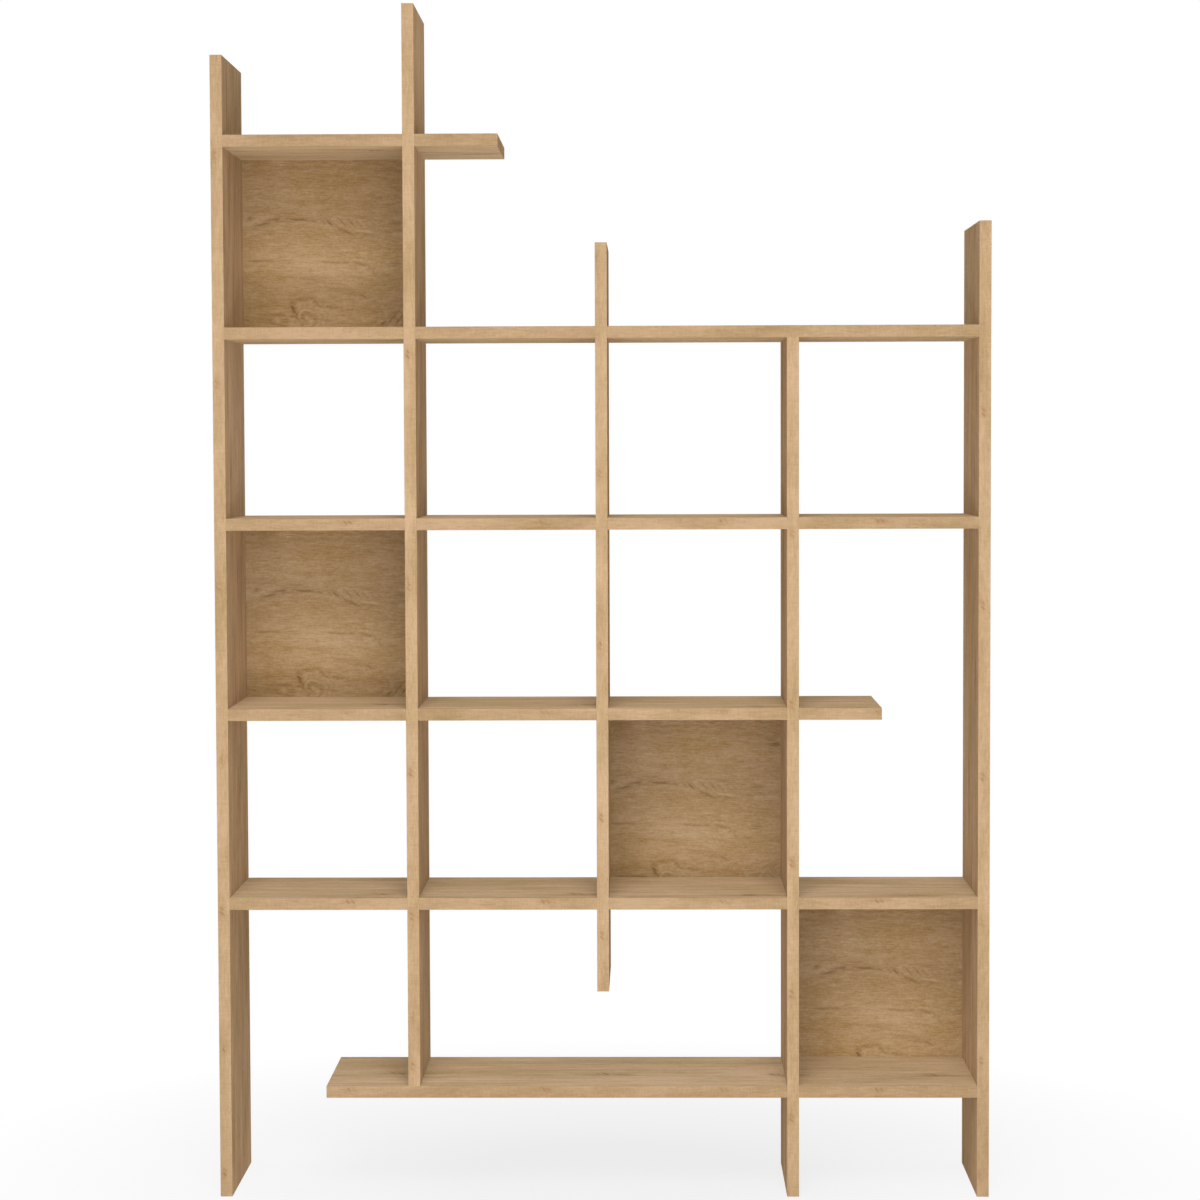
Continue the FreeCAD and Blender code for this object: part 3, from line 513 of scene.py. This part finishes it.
def make_oak_print(name):
    """Oak grain on a vector whose X runs along the grain.

    The grain wanders by a slow noise. Broad patches, streaks, fibres, speckle and cross ticks are noises
    stretched along or across the grain, and their sum is the tone between the light and the dark wood.
    Dark marks are broken into strokes, and pale ones lighten the tone.
    """
    group, given, result = start_group(
        name,
        (("Vector", "Vector"), ("Dark", "Float"), ("Light Colour", "Color"), ("Dark Colour", "Color"),
         ("Knot Colour", "Color"), ("Bands", "Float"), ("Streaks", "Float"), ("Fibres", "Float"),
         ("Speckle", "Float"), ("Ticks", "Float")),
        (("Color", "Color"), ("Roughness", "Float"), ("Height", "Float")))

    def level(vector, scale, detail):
        """Noise about zero."""
        return calc(group, "SUBTRACT", noise(group, vector, scale, detail, GRAIN_ROUGHNESS), NOISE_MIDDLE)

    x, y, z = split(group, given["Vector"])
    wander = level(given["Vector"], WANDER_SCALE, SOFT_DETAIL)
    bent = gather(group, x, calc(group, "MULTIPLY_ADD", wander, WANDER_REACH, y), z)
    broad = level(bent, BROAD_SCALE, RICH_DETAIL)
    streak = level(bent, STREAK_SCALE, RICH_DETAIL)
    fibre = level(bent, FIBRE_SCALE, RICH_DETAIL)
    stroke = level(bent, STROKE_SCALE, SOFT_DETAIL)
    speckle = level(bent, SPECKLE_SCALE, FINE_DETAIL)
    tick = level(bent, TICK_SCALE, FINE_DETAIL)
    tone = calc(group, "MULTIPLY_ADD", broad, given["Bands"], TONE_MIDDLE)
    tone = calc(group, "MULTIPLY_ADD", streak, given["Streaks"], tone)
    tone = calc(group, "MULTIPLY_ADD", fibre, given["Fibres"], tone)
    tone = calc(group, "MULTIPLY_ADD", speckle, given["Speckle"], tone)
    tone = calc(group, "MULTIPLY_ADD", tick, given["Ticks"], tone)
    tone = calc(group, "ADD", tone, calc(group, "MINIMUM", given["Dark"], 0.0), clamp=True)
    wood = blend_colours(group, tone, given["Light Colour"], given["Dark Colour"])
    pink = calc(group, "MULTIPLY_ADD", broad, PINK_SLOPE, PINK_MIDDLE, clamp=True)
    tint = blend_colours(group, pink, GOLD_TINT, PINK_TINT)
    wood = blend_colours(group, 1.0, wood, tint, mode="MULTIPLY")
    broken = calc(group, "MULTIPLY_ADD", stroke, BREAK_SLOPE, BREAK_MIDDLE, clamp=True)
    mark = calc(group, "MULTIPLY", given["Dark"], broken, clamp=True)
    feed(group, result["Color"], blend_colours(group, mark, wood, given["Knot Colour"]))
    roughness = calc(group, "MULTIPLY_ADD", tone, DARK_ROUGHNESS, PRINT_ROUGHNESS)
    feed(group, result["Roughness"], roughness)
    feed(group, result["Height"], calc(group, "MULTIPLY_ADD", streak, STREAK_HEIGHT_SHARE, fibre))
    return group


def make_raw_chips(name):
    """Raw chipboard: flat chips of two tones, from Voronoi cells, with fine grit."""
    group, given, result = start_group(
        name, (("Vector", "Vector"), ("Light Colour", "Color"), ("Dark Colour", "Color")),
        (("Color", "Color"), ("Height", "Float")))
    cells = add_node(group, "ShaderNodeTexVoronoi")
    feed(group, cells.inputs["Vector"], given["Vector"])
    feed(group, cells.inputs["Scale"], CHIP_SCALE)
    chip = split(group, cells.outputs["Color"])[0]
    grit = noise(group, given["Vector"], GRIT_SCALE)
    tone = calc(group, "MULTIPLY", chip, CHIP_SHARE)
    tone = calc(group, "MULTIPLY_ADD", grit, GRIT_SHARE, tone, clamp=True)
    feed(group, result["Color"], blend_colours(group, tone, given["Light Colour"], given["Dark Colour"]))
    feed(group, result["Height"], tone)
    return group


def make_worn_metal(name):
    """Metal tone and roughness from two noises: soft clouds and fine scuffs."""
    group, given, result = start_group(
        name, (("Vector", "Vector"), ("Metal Colour", "Color"), ("Roughness", "Float")),
        (("Color", "Color"), ("Roughness", "Float"), ("Height", "Float")))
    cloud = noise(group, given["Vector"], CLOUD_SCALE, RICH_DETAIL)
    scuff = noise(group, given["Vector"], SCUFF_SCALE, SOFT_DETAIL)
    tone = calc(group, "MULTIPLY", scuff, SCUFF_SHARE)
    tone = calc(group, "MULTIPLY_ADD", cloud, CLOUD_SHARE, tone, clamp=True)
    dull = blend_colours(group, 1.0, given["Metal Colour"], DULL_METAL_SHARES, mode="MULTIPLY")
    feed(group, result["Color"], blend_colours(group, tone, given["Metal Colour"], dull))
    roughness = calc(group, "MULTIPLY_ADD", scuff, SCUFF_ROUGHNESS, given["Roughness"])
    feed(group, result["Roughness"], roughness)
    feed(group, result["Height"], scuff)
    return group


# Materials

def start_material(name):
    """New material with one Principled shader."""
    material = bpy.data.materials.new(name)
    material.use_nodes = True
    tree = material.node_tree
    tree.nodes.clear()
    shader = add_node(tree, "ShaderNodeBsdfPrincipled")
    output = add_node(tree, "ShaderNodeOutputMaterial")
    tree.links.new(shader.outputs[0], output.inputs["Surface"])
    return material, tree, shader


def object_place(tree):
    """Object coordinates of the shaded point."""
    return add_node(tree, "ShaderNodeTexCoord").outputs["Object"]


def grain_space(tree, grain, across, origin):
    """Object coordinates turned so that X runs along the grain and Y across it, from an origin."""
    turn = Matrix((grain, across, grain.cross(across)))
    node = add_node(tree, "ShaderNodeMapping", vector_type="POINT")
    feed(tree, node.inputs["Vector"], object_place(tree))
    feed(tree, node.inputs["Rotation"], turn.to_euler("XYZ"))
    feed(tree, node.inputs["Location"], -(turn @ origin))
    return node.outputs[0]


def put_marks(tree, vector, marks):
    """Add up the marks: where they bend the grain and how much they darken it."""
    group = shared_group("grain_mark", make_grain_mark)
    dark = shift = 0.0
    for along, across, half_length, half_width, push, slant, depth in marks:
        out = use_group(tree, group, Vector=vector, Dark=dark, Shift=shift, Along=along, Across=across,
                        Half_Length=half_length, Half_Width=half_width, Push=push, Slant=slant,
                        Depth=depth)
        dark, shift = out["Dark"], out["Shift"]
    return vector_calc(tree, "SUBTRACT", vector, gather(tree, 0.0, shift, 0.0)), dark


def put_eyes(tree, vector, dark, eyes):
    """Add up the growth rings on the darkness of the marks."""
    group = shared_group("grain_eye", make_grain_eye)
    for along, across, half_length, half_width, rings, depth in eyes:
        dark = use_group(tree, group, Vector=vector, Dark=dark, Along=along, Across=across,
                         Half_Length=half_length, Half_Width=half_width, Rings=rings, Depth=depth)["Dark"]
    return dark


def strokes_at(along, across, strokes, strength=1.0):
    """Marks of one knot, streak or speck: its strokes moved to its place, at a share of their depth."""
    return [(along + ahead, across + aside, *shape, depth * strength)
            for ahead, aside, *shape, depth in strokes]


def set_colour(tree, shader, colour):
    """Base colour, greyer for light between boards, so that closed cells don't turn orange."""
    bounce = add_node(tree, "ShaderNodeLightPath").outputs["Is Diffuse Ray"]
    grey = add_node(tree, "ShaderNodeVectorMath", operation="DOT_PRODUCT")
    feed(tree, grey.inputs[0], colour)
    feed(tree, grey.inputs[1], GREY_SHARES)
    share = calc(tree, "MULTIPLY", bounce, BOUNCE_GREY_SHARE)
    feed(tree, shader.inputs["Base Color"], blend_colours(tree, share, colour, grey.outputs["Value"]))


def set_sheen(tree, shader):
    """Matt sheen: the surface mirrors less and less towards a grazing view."""
    facing = add_node(tree, "ShaderNodeLayerWeight").outputs["Facing"]
    fade = calc(tree, "POWER", calc(tree, "SUBTRACT", 1.0, facing), MATT_POWER)
    level = shader.inputs["Specular IOR Level"]
    level.default_value = MATT_LEVEL
    feed(tree, level, calc(tree, "MULTIPLY", fade, MATT_LEVEL))


def set_bump(tree, shader, height, strength, distance):
    """Bump on the shader's normal from a height, at a strength and a depth in metres."""
    node = add_node(tree, "ShaderNodeBump")
    feed(tree, node.inputs["Strength"], strength)
    feed(tree, node.inputs["Distance"], distance)
    feed(tree, node.inputs["Height"], height)
    feed(tree, shader.inputs["Normal"], node.outputs[0])


def paint(name, material):
    """Give a frame piece its material in every slot."""
    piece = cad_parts[name]
    if not piece.material_slots:
        piece.data.materials.append(material)
    for slot in piece.material_slots:
        slot.material = material


def shuffle(number):
    """The jump through the print that gives a board its own stretch of it."""
    return (0.0, 0.0, BOARD_SHUFFLE * (number + 1))


def toned(colour, share):
    """A colour with all its parts times a share."""
    return [share * part for part in colour]


def cell_place(along, up, half_length, half_width):
    """Place and half sizes of a mark on a back panel, in metres, from shares of the cell."""
    return along * BAY_WIDTH, up * CELL_HEIGHT, half_length * BAY_WIDTH, half_width * CELL_HEIGHT


def finish_board(name, colours, light, dark_wood, grain, across, marks, number):
    """Printed board: oak on its two faces, raw chips on every other face and in the holes."""
    low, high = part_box(name)
    through = grain.cross(across)
    half = abs(through.dot(high - low)) / 2
    origin = through * through.dot((low + high) / 2)
    near = [mark for mark in marks if grain.dot(low) - MARK_REACH < mark[0] < grain.dot(high) + MARK_REACH]
    material, tree, shader = start_material(name + "_oak")
    place = grain_space(tree, grain, across, origin)
    vector, dark = put_marks(tree, place, near)
    shuffled = vector_calc(tree, "MULTIPLY_ADD", vector, BOARD_STRETCH, shuffle(number))
    oak = use_group(tree, shared_group("oak_print", make_oak_print), Vector=shuffled, Dark=dark,
                    Light_Colour=light, Dark_Colour=dark_wood, Knot_Colour=colours.knot, **BOARD_PRINT)
    chips = use_group(tree, shared_group("raw_chips", make_raw_chips), Vector=place,
                      Light_Colour=colours.chip_light, Dark_Colour=colours.chip_dark)
    raw = calc(tree, "LESS_THAN", calc(tree, "ABSOLUTE", split(tree, place)[2]), half - SKIN)
    set_colour(tree, shader, blend_colours(tree, raw, oak["Color"], chips["Color"]))
    roughness = calc(tree, "MULTIPLY_ADD", raw, RAW_ROUGHNESS, oak["Roughness"])
    feed(tree, shader.inputs["Roughness"], roughness)
    set_sheen(tree, shader)
    height = calc(tree, "MULTIPLY", chips["Height"], raw)
    height = calc(tree, "MULTIPLY_ADD", height, CHIP_HEIGHT, oak["Height"])
    set_bump(tree, shader, height, *BOARD_BUMP)
    paint(name, material)


def finish_panel(name, colours):
    """Back panel: bold oak print on the front, bare brown hardboard on the rear and the edges."""
    low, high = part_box(name)
    ahead, above, tone = PANEL_CUT_SHARES[name]
    overlap = (high.x - low.x - BAY_WIDTH) / 2
    corner = Vector((low.x + overlap + ahead * BAY_WIDTH, 0, low.z + overlap + above * CELL_HEIGHT))
    # The panel marks hold painted shade at the top and right and painted light in the lower middle,
    # besides the print.
    marks = [(*cell_place(*shares), push * CELL_HEIGHT, slant * CELL_HEIGHT, depth)
             for *shares, push, slant, depth in PANEL_PRINT_AND_PAINTED_LIGHT_SHARES]
    eyes = [(*cell_place(*shares), rings, depth) for *shares, rings, depth in PANEL_EYE_SHARES]
    material, tree, shader = start_material(name + "_print")
    place = grain_space(tree, X_AXIS, Z_AXIS, corner)
    vector, dark = put_marks(tree, place, marks)
    dark = put_eyes(tree, place, dark, eyes)
    oak = use_group(tree, shared_group("oak_print", make_oak_print), Vector=vector, Dark=dark,
                    Light_Colour=toned(colours.panel_light, tone),
                    Dark_Colour=toned(colours.panel_dark, tone),
                    Knot_Colour=colours.panel_mark, **PANEL_PRINT)
    chips = use_group(tree, shared_group("raw_chips", make_raw_chips), Vector=place,
                      Light_Colour=colours.hardboard,
                      Dark_Colour=toned(colours.hardboard, HARDBOARD_DARK_SHARE))
    rear = calc(tree, "GREATER_THAN", split(tree, object_place(tree))[1], low.y + SKIN)
    set_colour(tree, shader, blend_colours(tree, rear, oak["Color"], chips["Color"]))
    roughness = calc(tree, "MULTIPLY_ADD", rear, HARDBOARD_ROUGHNESS, oak["Roughness"])
    feed(tree, shader.inputs["Roughness"], roughness)
    set_sheen(tree, shader)
    set_bump(tree, shader, oak["Height"], *PANEL_BUMP)
    paint(name, material)


def finish_edging(name, colours, tone, grain, across, marks, number):
    """Edging strips of one board or line: light print along each strip, a painted highlight on the rounded
    corners and painted light on the free ends.
    """
    low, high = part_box(name)
    origin = across * across.dot((low + high) / 2)
    light = [share * part for share, part in zip(tone, colours.edging_light)]
    dark_wood = [share * part for share, part in zip(tone, colours.edging_dark)]
    material, tree, shader = start_material(name + "_strip")
    front = grain_space(tree, grain, across, origin)
    end = grain_space(tree, Y_AXIS, across, origin)
    behind = calc(tree, "GREATER_THAN", split(tree, object_place(tree))[1], CORE_FRONT + SKIN)
    pick = add_node(tree, "ShaderNodeMix", data_type="VECTOR")
    feed(tree, pick.inputs[0], behind)
    feed(tree, pick.inputs[4], front)
    feed(tree, pick.inputs[5], end)
    vector, dark = put_marks(tree, pick.outputs[1], marks)
    shuffled = vector_calc(tree, "ADD", vector, shuffle(number))
    oak = use_group(tree, shared_group("oak_print", make_oak_print), Vector=shuffled, Dark=dark,
                    Light_Colour=light, Dark_Colour=dark_wood, Knot_Colour=colours.knot, **STRIP_PRINT)
    # Painted light: the strips on the free ends, which face the sides, are made paler.
    ends_with_painted_light = vector_calc(tree, "MULTIPLY", oak["Color"], (END_STRIP_PAINTED_LIGHT_SHARE,) * 3)
    wood = blend_colours(tree, behind, oak["Color"], ends_with_painted_light)
    # Painted highlight: towards each long corner the strip turns part of the way to its light colour.
    edge = calc(tree, "ABSOLUTE", split(tree, front)[1])
    inner = BOARD_THICKNESS / 2 - ARRIS_HIGHLIGHT_WIDTH
    arris_highlight = calc(tree, "MULTIPLY_ADD", edge, 1 / ARRIS_HIGHLIGHT_WIDTH, -inner / ARRIS_HIGHLIGHT_WIDTH, clamp=True)
    set_colour(tree, shader, blend_colours(tree, calc(tree, "MULTIPLY", arris_highlight, ARRIS_HIGHLIGHT_SHARE), wood, light))
    feed(tree, shader.inputs["Roughness"], oak["Roughness"])
    set_sheen(tree, shader)
    set_bump(tree, shader, oak["Height"], *STRIP_BUMP)
    paint(name, material)


def finish_metal(name, metal_colour, roughness):
    """Metal fittings, with clouds and scuffs."""
    material, tree, shader = start_material(name + "_metal")
    metal = use_group(tree, shared_group("worn_metal", make_worn_metal), Vector=object_place(tree),
                      Metal_Colour=metal_colour, Roughness=roughness)
    feed(tree, shader.inputs["Base Color"], metal["Color"])
    feed(tree, shader.inputs["Roughness"], metal["Roughness"])
    feed(tree, shader.inputs["Metallic"], 1.0)
    set_bump(tree, shader, metal["Height"], *METAL_BUMP)
    paint(name, material)


def finish_dowels(name, colours):
    """Beech dowels with their grain along X."""
    material, tree, shader = start_material(name + "_beech")
    place = grain_space(tree, X_AXIS, Y_AXIS, Vector((0, 0, 0)))
    oak = use_group(tree, shared_group("oak_print", make_oak_print), Vector=place,
                    Light_Colour=colours.beech, Dark_Colour=toned(colours.beech, BEECH_DARK_SHARE),
                    Knot_Colour=colours.knot, **DOWEL_PRINT)
    feed(tree, shader.inputs["Base Color"], oak["Color"])
    feed(tree, shader.inputs["Roughness"], oak["Roughness"])
    set_bump(tree, shader, oak["Height"], *DOWEL_BUMP)
    paint(name, material)


# Operators

def shelf_line(name):
    """The shelf line that a board or its strips belong to, such as shelf_3."""
    return name[:len("shelf_1")]


class BOOKSHELF_OT_shelves(bpy.types.Operator):
    """Print the shelves, with the grain from side to side"""
    bl_idname = "bookshelf.shelves"
    bl_label = "Shelves"

    def execute(self, context):
        colours = context.scene.bookshelf_colours
        # The shelves take the paler colours: painted light on their tops.
        light, dark = colours.shelf_light_with_painted_light, colours.shelf_dark_with_painted_light
        for number, name in enumerate(SHELVES):
            marks = []
            for along, across in SHELF_KNOT_SHARES[shelf_line(name)]:
                marks += strokes_at(along * TOTAL_WIDTH, BOARD_FRONT + across * BOARD_DEPTH, KNOT_STROKES)
            finish_board(name, colours, light, dark, X_AXIS, Y_AXIS, marks, number)
        return {"FINISHED"}


class BOOKSHELF_OT_uprights(bpy.types.Operator):
    """Print the uprights, with the grain from floor to top"""
    bl_idname = "bookshelf.uprights"
    bl_label = "Uprights"

    def execute(self, context):
        colours = context.scene.bookshelf_colours
        light, dark = colours.upright_light, colours.upright_dark
        marks = []
        for along, across in UPRIGHT_STREAK_SHARES:
            marks += strokes_at(along * TOTAL_HEIGHT, BOARD_FRONT + across * BOARD_DEPTH, STREAK_STROKES)
        for number, name in enumerate(UPRIGHTS):
            finish_board(name, colours, light, dark, Z_AXIS, Y_AXIS, marks, number)
        return {"FINISHED"}


class BOOKSHELF_OT_edging(bpy.types.Operator):
    """Finish the strips on the front edges and free ends"""
    bl_idname = "bookshelf.edging"
    bl_label = "Edging"

    def execute(self, context):
        colours = context.scene.bookshelf_colours
        for number, name in enumerate(SHELF_EDGINGS):
            strength = SPECK_STRENGTH_SHARES[shelf_line(name)]
            marks = []
            for start, share in zip(BAY_STARTS, SHELF_SPECK_SHARES):
                marks += strokes_at(start + share * BAY_WIDTH, SPECK_OFFSET, SPECK_STROKES, strength)
            finish_edging(name, colours, SHELF_STRIP_SHARES, X_AXIS, Z_AXIS, marks, number)
        for number, name in enumerate(UPRIGHTS):
            marks = []
            for share in UPRIGHT_SPECK_SHARES[name]:
                marks += strokes_at(share * TOTAL_HEIGHT, -SPECK_OFFSET, SPECK_STROKES)
            finish_edging(name + "_edging", colours, UPRIGHT_STRIP_SHARES, Z_AXIS, X_AXIS, marks, number)
        return {"FINISHED"}


class BOOKSHELF_OT_panels(bpy.types.Operator):
    """Print the back panels"""
    bl_idname = "bookshelf.panels"
    bl_label = "Back panels"

    def execute(self, context):
        for name in PANELS:
            finish_panel(name, context.scene.bookshelf_colours)
        return {"FINISHED"}


class BOOKSHELF_OT_cams(bpy.types.Operator):
    """Finish the cam locks in cast zinc"""
    bl_idname = "bookshelf.cams"
    bl_label = "Cam locks"

    def execute(self, context):
        finish_metal("cam_locks", context.scene.bookshelf_colours.zinc, ZINC_ROUGHNESS)
        return {"FINISHED"}


class BOOKSHELF_OT_bolts(bpy.types.Operator):
    """Finish the connecting bolts and the panel nails in steel"""
    bl_idname = "bookshelf.bolts"
    bl_label = "Bolts and nails"

    def execute(self, context):
        for name in ("face_bolts", "double_bolts", "panel_nails"):
            finish_metal(name, context.scene.bookshelf_colours.steel, STEEL_ROUGHNESS)
        return {"FINISHED"}


class BOOKSHELF_OT_dowels(bpy.types.Operator):
    """Finish the dowels in beech"""
    bl_idname = "bookshelf.dowels"
    bl_label = "Dowels"

    def execute(self, context):
        for name in ("face_dowels", "through_dowels"):
            finish_dowels(name, context.scene.bookshelf_colours)
        return {"FINISHED"}


def make_floor(radius):
    """Square floor: a flat grid of cells, x and y from -radius to radius, z = 0."""
    line = np.linspace(-radius, radius, FLOOR_POINTS)
    x, y = np.meshgrid(line, line)
    points = np.stack((x, y, np.zeros_like(x)), axis=-1).reshape(-1, 3)
    cells = np.arange(FLOOR_POINTS - 1)
    start = (cells[:, None] * FLOOR_POINTS + cells).ravel()
    next_row = start + FLOOR_POINTS
    faces = np.stack((start, start + 1, next_row + 1, next_row), axis=-1)
    mesh = bpy.data.meshes.new("floor")
    mesh.from_pydata(points.tolist(), [], faces.tolist())
    mesh.update()
    floor = bpy.data.objects.new("floor", mesh)
    bpy.context.scene.collection.objects.link(floor)
    return floor


def seen_directly(tree):
    """1 for rays that show the stage itself: from the camera, or mirrored or passed through."""
    path = add_node(tree, "ShaderNodeLightPath").outputs
    mirrored = calc(tree, "MAXIMUM", path["Is Glossy Ray"], path["Is Transmission Ray"])
    return calc(tree, "MAXIMUM", path["Is Camera Ray"], mirrored)


def finish_floor(floor):
    """Pale floor: it shades near the bookshelf and fades to plain white further out."""
    material = bpy.data.materials.new("floor_pale")
    material.use_nodes = True
    tree = material.node_tree
    tree.nodes.clear()
    plain = add_node(tree, "ShaderNodeBsdfDiffuse")
    feed(tree, plain.inputs["Color"], (FLOOR_GREY, FLOOR_GREY, FLOOR_GREY))
    glow = add_node(tree, "ShaderNodeEmission")
    feed(tree, glow.inputs["Color"], (1.0, 1.0, 1.0))
    feed(tree, glow.inputs["Strength"], 1.0)
    far = add_node(tree, "ShaderNodeVectorMath", operation="LENGTH")
    feed(tree, far.inputs[0], object_place(tree))
    distance = far.outputs["Value"]
    fade = calc(tree, "MULTIPLY_ADD", distance, 1 / FADE_REACH, -FADE_START / FADE_REACH, clamp=True)
    share = calc(tree, "MULTIPLY_ADD", fade, 1 - NEAR_WHITE_SHARE, NEAR_WHITE_SHARE)
    mix = add_node(tree, "ShaderNodeMixShader")
    feed(tree, mix.inputs[0], calc(tree, "MULTIPLY", share, seen_directly(tree)))
    tree.links.new(plain.outputs[0], mix.inputs[1])
    tree.links.new(glow.outputs[0], mix.inputs[2])
    output = add_node(tree, "ShaderNodeOutputMaterial")
    tree.links.new(mix.outputs[0], output.inputs["Surface"])
    floor.data.materials.append(material)


def set_world(level):
    """White where it is seen, an even softer sky for the light on the bookshelf."""
    world = bpy.data.worlds.new("studio")
    bpy.context.scene.world = world
    world.use_nodes = True
    tree = world.node_tree
    tree.nodes.clear()
    sky = add_node(tree, "ShaderNodeBackground")
    feed(tree, sky.inputs["Color"], (1.0, 1.0, 1.0))
    feed(tree, sky.inputs["Strength"], level)
    white = add_node(tree, "ShaderNodeBackground")
    feed(tree, white.inputs["Color"], (1.0, 1.0, 1.0))
    feed(tree, white.inputs["Strength"], 1.0)
    mix = add_node(tree, "ShaderNodeMixShader")
    feed(tree, mix.inputs[0], seen_directly(tree))
    tree.links.new(sky.outputs[0], mix.inputs[1])
    tree.links.new(white.outputs[0], mix.inputs[2])
    output = add_node(tree, "ShaderNodeOutputWorld")
    tree.links.new(mix.outputs[0], output.inputs["Surface"])


def add_lamp(name, place, target, width, height, power):
    """Soft rectangular lamp at a place, turned to a target."""
    data = bpy.data.lights.new(name, "AREA")
    data.shape = "RECTANGLE"
    data.size = width
    data.size_y = height
    data.energy = power
    lamp = bpy.data.objects.new(name, data)
    lamp.location = place
    lamp.rotation_euler = (Vector(target) - Vector(place)).to_track_quat("-Z", "Y").to_euler()
    lamp.visible_camera = False
    bpy.context.scene.collection.objects.link(lamp)


def add_camera(lens):
    """Camera at the photograph's place: yaw about Z, dip below level, then a small roll."""
    ahead = Vector((math.sin(CAMERA_YAW), math.cos(CAMERA_YAW), 0))
    forward = math.cos(CAMERA_DIP) * ahead - math.sin(CAMERA_DIP) * Z_AXIS
    right = Vector((math.cos(CAMERA_YAW), -math.sin(CAMERA_YAW), 0))
    down = forward.cross(right)
    level = math.cos(CAMERA_ROLL) * right + math.sin(CAMERA_ROLL) * down
    up = math.sin(CAMERA_ROLL) * right - math.cos(CAMERA_ROLL) * down
    data = bpy.data.cameras.new("camera")
    data.lens = lens
    data.sensor_width = SENSOR_WIDTH
    data.clip_end = VIEW_REACH
    camera = bpy.data.objects.new("camera", data)
    bpy.context.scene.collection.objects.link(camera)
    turn = Matrix((level, up, -forward)).transposed()
    camera.matrix_world = Matrix.Translation(CAMERA_PLACE) @ turn.to_4x4()
    bpy.context.scene.camera = camera


class BOOKSHELF_OT_stage(bpy.types.Operator):
    """Set the floor, the sky, the lamps and the camera"""
    bl_idname = "bookshelf.stage"
    bl_label = "Stage"

    def execute(self, context):
        settings = context.scene.bookshelf_stage
        finish_floor(make_floor(settings.floor_radius))
        set_world(settings.sky_level)
        centre = (0.0, 0.0, TOTAL_HEIGHT / 2)
        for name, place, width, height, share in LAMPS:
            add_lamp(name, place, centre, width, height, settings.lamp_power * share)
        add_camera(settings.lens)
        context.scene.view_settings.view_transform = "Standard"
        return {"FINISHED"}


class BOOKSHELF_PT_sidebar(bpy.types.Panel):
    """Lists the finishing steps and their settings"""
    bl_idname = "BOOKSHELF_PT_sidebar"
    bl_label = "Staircase bookshelf"
    bl_space_type = "VIEW_3D"
    bl_region_type = "UI"
    bl_category = "Bookshelf"

    def draw(self, context):
        for operator in OPERATORS:
            self.layout.operator(operator.bl_idname)
        for group in (context.scene.bookshelf_colours, context.scene.bookshelf_stage):
            for key in group.__annotations__:
                self.layout.prop(group, key)


OPERATORS = (BOOKSHELF_OT_shelves, BOOKSHELF_OT_uprights, BOOKSHELF_OT_edging, BOOKSHELF_OT_panels,
             BOOKSHELF_OT_cams, BOOKSHELF_OT_bolts, BOOKSHELF_OT_dowels, BOOKSHELF_OT_stage)
CLASSES = (BookshelfColours, BookshelfStage, *OPERATORS, BOOKSHELF_PT_sidebar)


def register():
    for item in CLASSES:
        bpy.utils.register_class(item)
    bpy.types.Scene.bookshelf_colours = bpy.props.PointerProperty(type=BookshelfColours)
    bpy.types.Scene.bookshelf_stage = bpy.props.PointerProperty(type=BookshelfStage)


def unregister():
    del bpy.types.Scene.bookshelf_stage
    del bpy.types.Scene.bookshelf_colours
    for item in reversed(CLASSES):
        bpy.utils.unregister_class(item)


def main():
    register()
    bpy.ops.bookshelf.shelves()
    bpy.ops.bookshelf.uprights()
    bpy.ops.bookshelf.edging()
    bpy.ops.bookshelf.panels()
    bpy.ops.bookshelf.cams()
    bpy.ops.bookshelf.bolts()
    bpy.ops.bookshelf.dowels()
    bpy.ops.bookshelf.stage()


if __name__ == "__main__":
    main()
